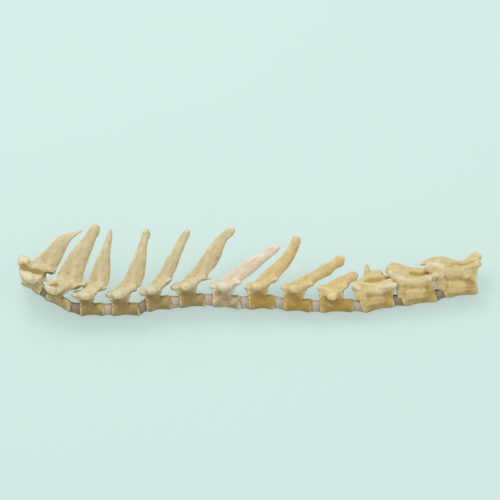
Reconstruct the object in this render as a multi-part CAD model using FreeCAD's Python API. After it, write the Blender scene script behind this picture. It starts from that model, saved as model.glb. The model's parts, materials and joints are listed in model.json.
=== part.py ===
import FreeCAD, Part
import math
import os
from dataclasses import dataclass

# Thoracic column of a large dog: thirteen vertebrae, twelve spacers between their bodies
# and one wire through them all. Each bone is built in its own frame, in millimetres:
# X runs from the middle of its cranial face to the middle of its caudal face, Y is dorsal
# and Z is the animal's left. The column is then laid down on its right side as it rests.

# Wire through the bodies, and the bore that it runs in
WIRE_DIAMETER = 1.6
WIRE_CLEARANCE = 0.1
WIRE_END_RECESS = 0.6
WIRE_BEND_RUN = 1.7
BORE_OVERRUN = 2.0

# Spacers: how far they stay inside the rims, and their hollow flank
SPACER_INSET = 0.35
SPACER_WAIST = 0.25
SPACER_CLEARANCE = 0.8
FACE_OVERLAP = 0.3
JOINT_SPACE = 40.0

# Vertebral canal and the arch round it
CANAL_WIDTH = 7.0
CANAL_FLOOR_DEPTH = 0.5
CANAL_SHARES = (-1.0, 0.0, 1.0, 2.0)
ARCH_SHARES = (0.0, 0.3, 0.7, 1.0)
LAMINA_THICKNESS = 1.8
PEDICLE_THICKNESS = 1.9
ARCH_FOOT_SHARE = 0.6
ARCH_NECK = 0.10
ARCH_SQUARENESS = 2.3
CANAL_SQUARENESS = 2.2

# Vertebral body: lip at each end face, waist between them, ventral keel
RIM_LENGTH = 1.4
RIM_FLARE = 0.35
WAIST_SHARE = 0.80
KEEL_SHARE = 0.86
BODY_SQUARENESS = 2.6

# Facets for the ribs
RIB_HEAD_RADIUS = 3.2
RIB_HEAD_DEPTH = 0.8
RIB_TUBERCLE_RADIUS = 4.0
RIB_TUBERCLE_DEPTH = 0.6

# Articular, accessory and mammillary processes: their widths at the root and near the tip
ARTICULAR_ROOT = 4.6
ARTICULAR_TIP = 3.0
ACCESSORY_ROOT = 6.5
ACCESSORY_TIP = 4.0
MAMMILLARY_ROOT = 7.5
MAMMILLARY_TIP = 5.0

# Where those processes spring: along from the edge of the arch, up from its roof and out
# from the wall of the canal
CRANIAL_SPRING = (5.0, -3.2, 0.4)
CAUDAL_SPRING = (-4.5, -1.6, -1.0)
MAMMILLARY_SPRING = (5.5, -3.6, 1.8)
ACCESSORY_RUN = 11.0
ACCESSORY_OUT = 0.6

# Thumb-like end of a process: the stations before its tip and their widths, in tip widths
THUMB_WAIST = 0.45
THUMB_STATIONS = (0.45, 0.12, 0.0)
THUMB_WIDTHS = (1.0, 0.72, 0.3)

# Spinous process: how its thickness falls from the arch to the tip
SPINE_ROOT_THICKNESS = 6.6
SPINE_NECK_THICKNESS = 3.6
SPINE_TIP_THICKNESS = 2.6
SPINE_TIP_RUN = 1.0
SPINE_TIP_SHARE = 0.58
SPINE_SHARPNESS = 2.0

# Low spinous process: how its two ends are drawn in
CREST_END_RUN = 1.1
CREST_END_SHARE = 0.55

# Ridge along the side of the lamina in the last bones: its height and thickness
RIDGE_HEIGHT = 6.0
RIDGE_THICKNESS = 4.4
RIDGE_END_SHARE = 0.6

# Transverse process: section at the arch and at its knob, and how it changes on the way
WING_ROOT_WIDTH = 9.5
WING_ROOT_HEIGHT = 5.0
WING_ROOT_DEPTH = 1.0
WING_KNOB_WIDTH = 7.6
WING_KNOB_HEIGHT = 5.4
WING_STATIONS = (0.0, 0.4, 0.72, 0.9, 1.0)
WING_ROOT_SHARES = ((1.0, 1.0), (0.74, 0.84))
WING_KNOB_SHARES = ((1.0, 1.0), (0.84, 0.84), (0.35, 0.35))
RIB_TUBERCLE_INWARD = 1.6

# Laying the column down
REST_TOLERANCE = 0.05
REST_ANGLE = 0.0001
REST_ATTEMPTS = 12
SUPPORT_ATTEMPTS = 60
FAR_AWAY = 10000.0

# Heading of the first bone in the plane of the column, in degrees
FIRST_HEADING = -33.0

RING_POINTS = 16
MIDDLE = 0.5


@dataclass(frozen=True)
class Vertebra:
    """Sizes of one bone, in mm and degrees."""

    name: str
    gap: float  # from the bone in front, along that bone
    rise: float  # dorsal step from the bone in front
    turn: float  # turn from the bone in front, dorsal way positive
    length: float
    width: float
    top: float  # dorsal edge of the end faces above the axis
    bottom: float  # ventral edge below the axis
    tilt_front: float  # how far each end face leans from square
    tilt_back: float
    roof: tuple  # height of the arch at its cranial and caudal edges
    front: tuple  # arch's cranial edge: x at the body and at the roof
    back: tuple  # arch's caudal edge: x at the body and at the roof
    cranial: tuple  # tip of the cranial articular process: x, y, z
    caudal: tuple  # tip of the caudal articular process
    spine: tuple = ()  # tall spinous process from root to tip: x, y, width
    crest: tuple = ()  # long low spinous process: x, foot, height, thickness
    wing: tuple = ()  # transverse process: x, y of the root, and x, y, z of the knob
    accessory: tuple = ()  # tip of the accessory process
    mammillary: tuple = ()  # tip of the mammillary process
    ridge: tuple = ()  # ridge along the side of the lamina: x, y, z
    pedicle: float = PEDICLE_THICKNESS


COLUMN = (
    Vertebra(
        "vertebra_t01", 0.0, 0.0, 0.0, 14.0, 14.0, 4.0, 3.8, 0.0, 4.0,
        roof=(12.2, 13.2), front=(-5.8, -8.4), back=(9.6, 12.8),
        cranial=(-10.2, 10.6, 6.0), caudal=(15.4, 13.6, 3.2),
        spine=((6.8, 10.5, 13.0), (7.4, 15.5, 15.6), (7.8, 21.8, 12.6), (7.8, 30.0, 10.4),
               (8.4, 35.0, 8.2), (10.6, 39.5, 4.6), (13.1, 43.3, 2.2), (15.2, 46.6, 1.2)),
        wing=(2.4, 5.4, 2.6, 1.5, 17.0),
    ),
    Vertebra(
        "vertebra_t02", 3.9, 0.0, 4.0, 17.2, 13.0, 3.6, 3.8, 3.0, 20.0,
        roof=(10.8, 13.0), front=(-1.6, -0.8), back=(9.0, 15.0),
        cranial=(-4.6, 7.0, 5.0), caudal=(19.2, 17.5, 2.8),
        spine=((7.8, 10.5, 12.0), (7.9, 17.0, 17.0), (7.0, 22.0, 15.2), (6.6, 33.0, 12.3),
               (6.8, 40.0, 9.7), (7.0, 47.0, 7.6), (6.8, 54.2, 5.4)),
        wing=(1.4, 5.4, 0.8, 3.2, 16.0),
    ),
    Vertebra(
        "vertebra_t03", 5.9, 1.5, 28.5, 15.6, 12.6, 4.3, 4.2, 0.0, 9.0,
        roof=(11.4, 14.0), front=(-1.4, -4.4), back=(8.0, 12.5),
        cranial=(-5.6, 9.2, 4.6), caudal=(17.4, 14.0, 2.6),
        spine=((9.0, 11.5, 12.0), (11.6, 17.8, 14.0), (13.6, 24.0, 12.2), (14.7, 30.0, 9.8),
               (16.1, 36.5, 6.7), (17.6, 42.5, 4.9), (19.0, 48.0, 3.5), (19.5, 51.0, 2.4)),
        wing=(3.6, 8.2, 3.4, 8.6, 15.0),
    ),
    Vertebra(
        "vertebra_t04", 4.8, 0.2, 1.1, 17.9, 12.4, 4.2, 4.4, 0.0, 10.0,
        roof=(11.8, 13.6), front=(-1.0, -2.2), back=(10.6, 14.0),
        cranial=(-4.0, 9.2, 4.4), caudal=(16.2, 12.4, 2.6),
        spine=((9.0, 11.2, 12.0), (12.3, 15.8, 13.0), (15.8, 22.5, 11.4), (17.6, 28.5, 9.8),
               (19.0, 34.5, 8.0), (20.3, 40.0, 6.2), (21.9, 45.0, 5.0), (23.1, 49.6, 4.4),
               (23.5, 51.3, 3.2)),
        wing=(4.2, 8.2, 4.2, 9.0, 14.6),
    ),
    Vertebra(
        "vertebra_t05", 4.2, 2.6, 5.0, 16.3, 12.2, 4.8, 4.6, 0.0, 14.0,
        roof=(10.2, 13.4), front=(-1.2, -2.4), back=(9.4, 13.6),
        cranial=(-3.8, 8.0, 4.4), caudal=(18.2, 14.8, 2.6),
        spine=((8.6, 9.6, 11.0), (12.0, 14.4, 10.6), (16.0, 20.0, 8.6), (19.4, 26.0, 8.4),
               (22.9, 32.0, 6.9), (26.8, 38.0, 5.9), (30.3, 43.0, 4.6), (32.0, 45.2, 3.4)),
        wing=(4.4, 7.8, 4.6, 9.0, 14.0),
    ),
    Vertebra(
        "vertebra_t06", 5.1, -0.4, -0.7, 16.3, 12.2, 4.5, 3.9, 0.0, 6.0,
        roof=(12.6, 14.6), front=(-0.8, -2.8), back=(10.8, 14.0),
        cranial=(-5.0, 9.4, 4.4), caudal=(18.4, 14.0, 2.6),
        spine=((8.8, 11.5, 12.0), (14.6, 16.8, 12.6), (17.8, 21.0, 10.6), (21.8, 25.4, 11.0),
               (25.8, 31.2, 10.0), (29.4, 36.4, 7.8), (33.0, 39.8, 6.0), (37.4, 42.6, 5.0),
               (39.4, 43.6, 3.2)),
        wing=(5.0, 8.8, 5.4, 9.6, 13.8),
    ),
    Vertebra(
        "vertebra_t07", 4.9, -0.7, -10.1, 18.0, 12.2, 4.6, 4.2, 6.0, 12.0,
        roof=(11.4, 13.0), front=(-0.4, -2.2), back=(11.8, 15.4),
        cranial=(-3.2, 9.2, 4.4), caudal=(17.4, 13.2, 2.6),
        spine=((8.4, 10.4, 12.0), (11.6, 14.2, 11.6), (15.6, 18.2, 9.2), (19.0, 21.3, 9.3),
               (26.1, 27.7, 8.5), (32.6, 33.1, 6.6), (37.5, 36.8, 4.8), (40.0, 38.3, 3.0)),
        wing=(5.6, 8.6, 6.2, 9.6, 13.6),
    ),
    Vertebra(
        "vertebra_t08", 5.1, 0.5, 6.2, 16.6, 12.2, 4.9, 4.4, 3.0, 7.0,
        roof=(12.6, 14.4), front=(-0.4, -1.2), back=(11.4, 15.0),
        cranial=(-2.6, 9.4, 4.2), caudal=(19.2, 15.4, 2.6),
        spine=((8.6, 11.6, 12.0), (13.4, 15.8, 11.0), (17.7, 20.2, 9.2), (22.0, 24.2, 8.6),
               (25.8, 29.0, 7.7), (28.8, 34.0, 6.9), (30.9, 38.6, 6.2), (32.2, 42.0, 4.8)),
        wing=(5.4, 9.4, 6.0, 10.4, 13.0),
    ),
    Vertebra(
        "vertebra_t09", 6.1, -1.1, -5.1, 17.6, 12.4, 4.3, 4.3, 2.0, 2.0,
        roof=(13.2, 14.2), front=(-0.4, -1.2), back=(11.6, 15.4),
        cranial=(-3.2, 10.4, 4.2), caudal=(18.2, 14.2, 2.6),
        spine=((8.2, 11.8, 11.0), (12.8, 14.8, 10.6), (17.2, 18.0, 7.6), (22.0, 21.4, 7.8),
               (27.4, 25.4, 8.0), (32.0, 28.9, 7.8), (34.6, 31.4, 6.0), (36.0, 32.8, 3.8)),
        wing=(5.6, 9.6, 6.2, 10.2, 12.2),
    ),
    Vertebra(
        "vertebra_t10", 5.4, 0.2, 5.3, 21.3, 12.6, 4.2, 4.1, 0.0, 0.0,
        roof=(13.4, 13.2), front=(-0.2, -0.8), back=(14.6, 16.8),
        cranial=(-1.8, 12.0, 4.4), caudal=(18.4, 12.2, 2.4),
        spine=((8.6, 11.0, 12.0), (13.4, 13.8, 11.4), (17.0, 16.2, 7.4), (20.0, 18.0, 6.2),
               (23.4, 19.0, 5.0), (25.0, 18.9, 3.4)),
        wing=(7.6, 7.2, 8.4, 5.6, 9.6),
    ),
    Vertebra(
        "vertebra_t11", 5.2, -0.7, 9.8, 21.4, 12.8, 4.0, 4.4, 8.0, 2.0,
        roof=(14.4, 16.4), front=(-2.8, -3.4), back=(16.6, 18.5),
        cranial=(-3.9, 13.0, 5.4), caudal=(22.4, 15.4, 2.8),
        spine=((6.4, 13.0, 8.0), (7.4, 18.0, 5.6), (8.1, 22.0, 3.6), (8.5, 26.2, 1.4)),
        crest=((2.4, 12.0, 16.8, 5.6), (7.0, 12.0, 20.2, 4.4), (12.4, 12.4, 21.4, 3.8),
               (16.6, 13.0, 20.6, 3.4)),
        accessory=(24.4, 9.4, 8.0),
        ridge=((-0.6, 14.6, 5.4), (4.0, 12.8, 5.2), (9.0, 10.6, 5.2), (14.0, 9.2, 5.6), (18.0, 9.0, 6.4)),
        pedicle=2.5,
    ),
    Vertebra(
        "vertebra_t12", 4.9, -1.0, -2.8, 22.0, 13.2, 4.2, 4.3, 10.0, 7.0,
        roof=(14.2, 16.4), front=(-2.4, -3.4), back=(17.6, 19.5),
        cranial=(-3.6, 13.2, 6.6), caudal=(21.6, 16.4, 2.8),
        crest=((-7.0, 18.0, 22.4, 2.8), (-3.4, 14.0, 24.6, 3.8), (1.0, 12.0, 23.8, 4.6),
               (6.0, 12.0, 20.0, 4.8), (11.0, 12.4, 18.2, 4.8), (15.6, 13.0, 18.2, 4.2)),
        accessory=(21.2, 11.6, 10.4),
        mammillary=(-6.0, 19.6, 7.8),
        ridge=((-3.6, 17.0, 6.4), (-0.4, 14.6, 6.2), (4.0, 12.4, 6.0), (9.6, 11.4, 5.8), (16.0, 12.0, 6.6)),
        pedicle=2.7,
    ),
    Vertebra(
        "vertebra_t13", 5.2, 0.2, -0.7, 21.8, 13.2, 4.0, 2.9, 12.0, -2.0,
        roof=(14.8, 16.6), front=(-3.0, -5.0), back=(20.4, 25.4),
        cranial=(-6.0, 14.8, 7.4), caudal=(26.6, 15.8, 3.8),
        crest=((-12.2, 19.4, 21.6, 2.4), (-7.0, 19.0, 23.6, 3.0), (1.0, 13.0, 24.0, 3.6),
               (7.0, 13.4, 22.2, 3.4), (13.4, 14.0, 19.6, 3.4), (18.4, 14.4, 21.2, 3.2),
               (22.8, 16.4, 24.2, 3.0), (25.8, 18.4, 22.6, 2.6)),
        accessory=(17.6, 8.2, 7.2),
        mammillary=(-9.6, 19.2, 8.6),
        ridge=((-5.4, 18.4, 7.0), (0.0, 16.4, 6.6), (5.4, 13.6, 6.0), (12.0, 13.2, 5.4), (19.0, 14.4, 4.6)),
        pedicle=2.7,
    ),
)


def vector(x, y, z=0.0):
    """Point or direction in the bone's own frame."""
    return FreeCAD.Vector(x, y, z)


def ring(centre, wide, deep, half_wide, half_deep, squareness=SPINE_SHARPNESS):
    """Closed smooth section round a centre, spanned by two unit directions."""
    points = []
    for step in range(RING_POINTS):
        angle = 2.0 * math.pi * step / RING_POINTS
        across = math.copysign(abs(math.cos(angle)) ** (2.0 / squareness), math.cos(angle))
        along = math.copysign(abs(math.sin(angle)) ** (2.0 / squareness), math.sin(angle))
        points.append(centre + wide * (across * half_wide) + deep * (along * half_deep))
    curve = Part.BSplineCurve()
    curve.interpolate(Points=points, PeriodicFlag=True)
    return Part.Wire([curve.toShape()])


def loft(rings):
    """Closed solid through a row of rings."""
    solid = Part.makeLoft(rings, True, False, False)
    if solid.Volume < 0.0:
        solid.reverse()
    return solid


def both_sides(solid):
    """The solid and its mirror image across the sagittal plane."""
    return [solid, solid.mirror(vector(0.0, 0.0), vector(0.0, 0.0, 1.0))]


def directions(points):
    """Unit tangent at each point of a row."""
    result = []
    for index in range(len(points)):
        before = points[max(index - 1, 0)]
        after = points[min(index + 1, len(points) - 1)]
        tangent = after - before
        tangent.normalize()
        result.append(tangent)
    return result


def face_axes(tilt):
    """Outward axis and dorsal direction of a body face that leans by tilt degrees."""
    lean = math.radians(tilt)
    return vector(math.cos(lean), math.sin(lean)), vector(-math.sin(lean), math.cos(lean))


def body_ring(bone, place, tilt, wide_share, keel_share, flare):
    """Section of the vertebral body at a distance along its axis."""
    dorsal = face_axes(tilt)[1]
    height = bone.top + bone.bottom * keel_share + flare
    middle = vector(place, 0.0) + dorsal * ((bone.top - bone.bottom * keel_share) * MIDDLE)
    half_wide = (bone.width * wide_share + 2.0 * flare) * MIDDLE
    return ring(middle, dorsal, vector(0.0, 0.0, 1.0), height * MIDDLE, half_wide, BODY_SQUARENESS)


def body(bone):
    """Waisted vertebral body with lipped end faces."""
    waist = bone.length * MIDDLE
    shoulder = (RIM_LENGTH + waist) * MIDDLE
    back_shoulder = bone.length - shoulder
    middle_share = (1.0 + WAIST_SHARE) * MIDDLE
    middle_keel = (1.0 + KEEL_SHARE) * MIDDLE
    lean = (bone.tilt_front + bone.tilt_back) * MIDDLE
    near_front = (bone.tilt_front + lean) * MIDDLE
    near_back = (bone.tilt_back + lean) * MIDDLE
    return loft([
        body_ring(bone, 0.0, bone.tilt_front, 1.0, 1.0, 0.0),
        body_ring(bone, RIM_LENGTH, bone.tilt_front, 1.0, 1.0, RIM_FLARE),
        body_ring(bone, shoulder, near_front, middle_share, middle_keel, 0.0),
        body_ring(bone, waist, lean, WAIST_SHARE, KEEL_SHARE, 0.0),
        body_ring(bone, back_shoulder, near_back, middle_share, middle_keel, 0.0),
        body_ring(bone, bone.length - RIM_LENGTH, bone.tilt_back, 1.0, 1.0, RIM_FLARE),
        body_ring(bone, bone.length, bone.tilt_back, 1.0, 1.0, 0.0),
    ])


def slanted_ring(foot, head, half_wide, squareness):
    """Upright section between a foot and a head in the sagittal plane."""
    upright = head - foot
    half_high = upright.Length * MIDDLE
    upright.normalize()
    return ring((foot + head) * MIDDLE, upright, vector(0.0, 0.0, 1.0), half_high, half_wide, squareness)


def roof_height(bone, share):
    """Height of the arch at a share of the way from its cranial to its caudal edge."""
    return bone.roof[0] + (bone.roof[1] - bone.roof[0]) * share


def arch(bone):
    """Pedicles and lamina in one: the outside of the neural arch, still filled."""
    half_wide = CANAL_WIDTH * MIDDLE + bone.pedicle
    rings = []
    for share in ARCH_SHARES:
        roof = roof_height(bone, share)
        low = bone.front[0] + (bone.back[0] - bone.front[0]) * share
        high = bone.front[1] + (bone.back[1] - bone.front[1]) * share
        slope = (high - low) / (roof - bone.top)
        neck = 1.0 - ARCH_NECK * math.sin(math.pi * share)
        depth = bone.bottom * ARCH_FOOT_SHARE
        foot = vector(low - slope * (bone.top + depth), -depth)
        rings.append(slanted_ring(foot, vector(high, roof), half_wide * neck, ARCH_SQUARENESS))
    return loft(rings)


def canal(bone):
    """Vertebral canal: a tunnel through the arch, just above the body."""
    floor = bone.top - CANAL_FLOOR_DEPTH
    rings = []
    for share in CANAL_SHARES:
        roof = roof_height(bone, min(max(share, 0.0), 1.0)) - LAMINA_THICKNESS
        foot = vector(bone.length * share, floor)
        head = vector(bone.length * share, roof)
        rings.append(slanted_ring(foot, head, CANAL_WIDTH * MIDDLE, CANAL_SQUARENESS))
    return Part.makeLoft(rings, True, True, False)


def strut(points, widths, heights):
    """Round-ended process along a row of points, widest along the bone."""
    rings = []
    tangents = directions(points)
    for point, tangent, width, height in zip(points, tangents, widths, heights):
        wide = vector(1.0, 0.0) - tangent * tangent.x
        if wide.Length < MIDDLE:
            wide = vector(0.0, 1.0) - tangent * tangent.y
        wide.normalize()
        deep = tangent.cross(wide)
        rings.append(ring(point, wide, deep, width * MIDDLE, height * MIDDLE))
    return loft(rings)


def round_ended(root, tip, root_size, tip_size):
    """Process from root to tip whose end closes like a thumb."""
    run = tip - root
    step = run * (1.0 / run.Length)
    points = [root, root + run * THUMB_WAIST]
    sizes = [root_size, (root_size + tip_size) * THUMB_WAIST]
    for before, share in zip(THUMB_STATIONS, THUMB_WIDTHS):
        points.append(tip - step * (tip_size * before))
        sizes.append(tip_size * share)
    return strut(points, sizes, sizes)


def wing(bone):
    """Transverse process with its knob and the facet for the rib's tubercle."""
    root_x, root_y, knob_x, knob_y, knob_z = bone.wing
    root = vector(root_x, root_y, CANAL_WIDTH * MIDDLE - WING_ROOT_DEPTH)
    knob = vector(knob_x, knob_y, knob_z)
    run = knob - root
    points = [root + run * share for share in WING_STATIONS]
    widths = [WING_ROOT_WIDTH * across for across, along in WING_ROOT_SHARES]
    widths += [WING_KNOB_WIDTH * across for across, along in WING_KNOB_SHARES]
    heights = [WING_ROOT_HEIGHT * along for across, along in WING_ROOT_SHARES]
    heights += [WING_KNOB_HEIGHT * along for across, along in WING_KNOB_SHARES]
    process = strut(points, widths, heights)
    drop = RIB_TUBERCLE_RADIUS + WING_KNOB_HEIGHT * MIDDLE - RIB_TUBERCLE_DEPTH
    centre = knob + vector(0.0, -drop, -RIB_TUBERCLE_INWARD)
    return process.cut(Part.makeSphere(RIB_TUBERCLE_RADIUS, centre))


def spine(bone):
    """Tall spinous process: a blade that thins and narrows to its rounded tip."""
    side = vector(0.0, 0.0, 1.0)
    points = [vector(x, y) for x, y, width in bone.spine]
    tangents = directions(points)
    last = len(points) - 1
    rings = []
    for index, (point, tangent) in enumerate(zip(points, tangents)):
        width = bone.spine[index][2]
        thickness = SPINE_NECK_THICKNESS + (SPINE_TIP_THICKNESS - SPINE_NECK_THICKNESS) * index / last
        if index == 0:
            thickness = SPINE_ROOT_THICKNESS
        square = vector(tangent.y, -tangent.x)
        share = min(1.0, index * MIDDLE)
        wide = vector(1.0, 0.0) * (1.0 - share) + square * share
        wide.normalize()
        if index == last and width > thickness:
            place = point - tangent * SPINE_TIP_RUN
            rings.append(ring(place, wide, side, width * MIDDLE, thickness * MIDDLE))
            width *= SPINE_TIP_SHARE
        if index == last:
            thickness = min(thickness, width) * SPINE_TIP_SHARE
        rings.append(ring(point, wide, side, width * MIDDLE, thickness * MIDDLE))
    return loft(rings)


def crest(bone):
    """Long low spinous process: a plate that follows the roof of the arch."""
    stations = list(bone.crest)
    for end, hand in ((0, -1.0), (-1, 1.0)):
        place, foot, height, thickness = bone.crest[end]
        drawn_in = (height - foot) * (1.0 - CREST_END_SHARE) * MIDDLE
        station = (
            place + CREST_END_RUN * hand, foot + drawn_in, height - drawn_in, thickness * CREST_END_SHARE,
        )
        stations.insert(0 if hand < 0.0 else len(stations), station)
    rings = []
    for place, foot, height, thickness in stations:
        rings.append(
            slanted_ring(vector(place, foot), vector(place, height), thickness * MIDDLE, SPINE_SHARPNESS)
        )
    return loft(rings)


def ridge(bone):
    """Thick ridge along the side of the lamina, from the front processes to the back ones."""
    points = [vector(*place) for place in bone.ridge]
    shares = [RIDGE_END_SHARE] + [1.0] * (len(points) - 2) + [RIDGE_END_SHARE]
    heights = [RIDGE_HEIGHT * share for share in shares]
    thicknesses = [RIDGE_THICKNESS * share for share in shares]
    return strut(points, heights, thicknesses)


def spring(edge, roof, offsets):
    """Root of a process, offset from an edge of the arch, its roof and the canal's wall."""
    along, up, out = offsets
    return vector(edge + along, roof + up, CANAL_WIDTH * MIDDLE + out)


def vertebra(bone):
    """One bone, in its own frame."""
    front, back = bone.front[1], bone.back[1]
    low, high = bone.roof
    cranial_root = spring(front, low, CRANIAL_SPRING)
    caudal_root = spring(back, high, CAUDAL_SPRING)
    pieces = [arch(bone)]
    pieces += both_sides(round_ended(cranial_root, vector(*bone.cranial), ARTICULAR_ROOT, ARTICULAR_TIP))
    pieces += both_sides(round_ended(caudal_root, vector(*bone.caudal), ARTICULAR_ROOT, ARTICULAR_TIP))
    if bone.spine:
        pieces.append(spine(bone))
    if bone.crest:
        pieces.append(crest(bone))
    if bone.wing:
        pieces += both_sides(wing(bone))
    if bone.ridge:
        pieces += both_sides(ridge(bone))
    if bone.accessory:
        root = spring(bone.accessory[0], 0.0, (-ACCESSORY_RUN, high * MIDDLE, ACCESSORY_OUT))
        pieces += both_sides(round_ended(root, vector(*bone.accessory), ACCESSORY_ROOT, ACCESSORY_TIP))
    if bone.mammillary:
        root = spring(front, low, MAMMILLARY_SPRING)
        pieces += both_sides(round_ended(root, vector(*bone.mammillary), MAMMILLARY_ROOT, MAMMILLARY_TIP))
    processes = pieces[0].fuse(pieces[1:]).cut(joint_spaces(bone))
    return body(bone).fuse(processes).cut([canal(bone)] + rib_facets(bone))


def joint_spaces(bone):
    """Room for the spacers: nothing of the arch hangs before or behind the body."""
    blocks = []
    for place, tilt, hand in ((0.0, bone.tilt_front, -1.0), (bone.length, bone.tilt_back, 1.0)):
        block = Part.makeBox(JOINT_SPACE, JOINT_SPACE, JOINT_SPACE)
        low = vector(-FACE_OVERLAP, bone.top + SPACER_CLEARANCE - JOINT_SPACE, -JOINT_SPACE * MIDDLE)
        block.translate(low)
        if hand < 0.0:
            block = block.mirror(vector(0.0, 0.0), vector(1.0, 0.0))
        block.rotate(vector(0.0, 0.0), vector(0.0, 0.0, 1.0), tilt)
        block.translate(vector(place, 0.0))
        blocks.append(block)
    return blocks


def rib_facets(bone):
    """Hollows beside the end faces in which the heads of the ribs sit."""
    side = bone.width * MIDDLE + RIB_HEAD_RADIUS - RIB_HEAD_DEPTH
    level = bone.top * MIDDLE
    hollows = []
    for place in (0.0, bone.length):
        for hand in (-1.0, 1.0):
            hollows.append(Part.makeSphere(RIB_HEAD_RADIUS, vector(place, level, side * hand)))
    return hollows


def placements():
    """Place of each bone in the column, head end first, in the photograph's plane."""
    result = []
    end = vector(0.0, 0.0)
    heading = FIRST_HEADING
    for bone in COLUMN:
        turned = FreeCAD.Rotation(vector(0.0, 0.0, 1.0), heading)
        start = end + turned.multVec(vector(bone.gap, bone.rise))
        heading += bone.turn
        turned = FreeCAD.Rotation(vector(0.0, 0.0, 1.0), heading)
        result.append(FreeCAD.Placement(start, turned))
        end = start + turned.multVec(vector(bone.length, 0.0))
    return result


def face_ring(bone, place, tilt, inset):
    """Middle, dorsal way and half sizes of a body face, drawn in by an inset."""
    dorsal = face_axes(tilt)[1]
    middle = vector(place, 0.0) + dorsal * ((bone.top - bone.bottom) * MIDDLE)
    half_high = (bone.top + bone.bottom) * MIDDLE - inset
    half_wide = bone.width * MIDDLE - inset
    return middle, dorsal, half_high, half_wide


def spacer(front_bone, front_place, back_bone, back_place):
    """Spacer that fills the gap between two faces."""
    sections = []
    for bone, place, at, tilt in (
        (front_bone, front_place, front_bone.length, front_bone.tilt_back),
        (back_bone, back_place, 0.0, back_bone.tilt_front),
    ):
        middle, dorsal, half_high, half_wide = face_ring(bone, at, tilt, SPACER_INSET)
        middle = place.multVec(middle)
        dorsal = place.Rotation.multVec(dorsal)
        sections.append((middle, dorsal, half_high, half_wide))
    (middle_a, dorsal_a, high_a, wide_a), (middle_b, dorsal_b, high_b, wide_b) = sections
    dorsal_m = dorsal_a + dorsal_b
    dorsal_m.normalize()
    high_m = (high_a + high_b) * MIDDLE - SPACER_WAIST
    wide_m = (wide_a + wide_b) * MIDDLE - SPACER_WAIST
    side = vector(0.0, 0.0, 1.0)
    return loft([
        ring(middle_a, dorsal_a, side, high_a, wide_a, BODY_SQUARENESS),
        ring((middle_a + middle_b) * MIDDLE, dorsal_m, side, high_m, wide_m, BODY_SQUARENESS),
        ring(middle_b, dorsal_b, side, high_b, wide_b, BODY_SQUARENESS),
    ])


def wire_route(places):
    """Corners of the wire: the two outer faces, and the middle of each spacer."""
    route = [places[0].multVec(vector(0.0, 0.0))]
    for index in range(len(COLUMN) - 1):
        back = places[index].multVec(vector(COLUMN[index].length, 0.0))
        front = places[index + 1].multVec(vector(0.0, 0.0))
        route.append((back + front) * MIDDLE)
    route.append(places[-1].multVec(vector(COLUMN[-1].length, 0.0)))
    return route


def pipe(route, diameter, extra):
    """Round bar along straight runs joined by tangent arcs, longer at each end by extra."""
    first = route[0] - route[1]
    first.normalize()
    last = route[-1] - route[-2]
    last.normalize()
    corners = [route[0] + first * extra] + route[1:-1] + [route[-1] + last * extra]
    edges = []
    start = corners[0]
    for before, corner, after in zip(corners, corners[1:], corners[2:]):
        inward = before - corner
        inward.normalize()
        outward = after - corner
        outward.normalize()
        enter = corner + inward * WIRE_BEND_RUN
        leave = corner + outward * WIRE_BEND_RUN
        half_turn = (math.pi - inward.getAngle(outward)) * MIDDLE
        radius = WIRE_BEND_RUN / math.tan(half_turn)
        to_centre = inward + outward
        to_centre.normalize()
        centre = corner + to_centre * (radius / math.cos(half_turn))
        middle = centre - to_centre * radius
        edges.append(Part.LineSegment(start, enter).toShape())
        edges.append(Part.Arc(enter, middle, leave).toShape())
        start = leave
    edges.append(Part.LineSegment(start, corners[-1]).toShape())
    path = Part.Wire(edges)
    section = Part.Wire([Part.makeCircle(diameter * MIDDLE, corners[0], first)])
    return path.makePipeShell([section], True, False)


def joint_name(front_bone, back_bone):
    """Name of the spacer between two bones."""
    return "disc_" + front_bone.name.split("_")[1] + "_" + back_bone.name.split("_")[1]


def column():
    """Every piece by name, in the plane that the column is bent in."""
    places = placements()
    route = wire_route(places)
    bore = pipe(route, WIRE_DIAMETER + 2.0 * WIRE_CLEARANCE, BORE_OVERRUN)
    pieces = {}
    for bone, place in zip(COLUMN, places):
        solid = vertebra(bone)
        solid.Placement = place
        pieces[bone.name] = solid.cut(bore)
    for index in range(len(COLUMN) - 1):
        front_bone, back_bone = COLUMN[index], COLUMN[index + 1]
        solid = spacer(front_bone, places[index], back_bone, places[index + 1])
        pieces[joint_name(front_bone, back_bone)] = solid.cut(bore)
    pieces["core_wire"] = pipe(route, WIRE_DIAMETER, -WIRE_END_RECESS)
    return pieces


def tessellated(pieces):
    """Surface points of every piece."""
    points = []
    for shape in pieces.values():
        points += shape.tessellate(REST_TOLERANCE)[0]
    return points


def centre_of_mass(pieces):
    """Middle of the column's weight, each piece counted by its volume."""
    total = vector(0.0, 0.0)
    volume = 0.0
    for shape in pieces.values():
        total += shape.CenterOfGravity * shape.Volume
        volume += shape.Volume
    return total * (1.0 / volume)


def turned_way(first, second, point):
    """Twice the signed area, seen from above, of a point and two corners."""
    return (second.x - first.x) * (point.y - first.y) - (second.y - first.y) * (point.x - first.x)


def carries(corners, centre):
    """Whether three corners stand round the centre, seen from above."""
    signs = [turned_way(corners[k], corners[(k + 1) % 3], centre) for k in range(3)]
    return min(signs) >= 0.0 or max(signs) <= 0.0


def upward(corners):
    """Unit normal of the plane through three corners, pointing up."""
    normal = (corners[1] - corners[0]).cross(corners[2] - corners[0])
    normal.normalize()
    return normal if normal.z > 0.0 else normal * -1.0


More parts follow.
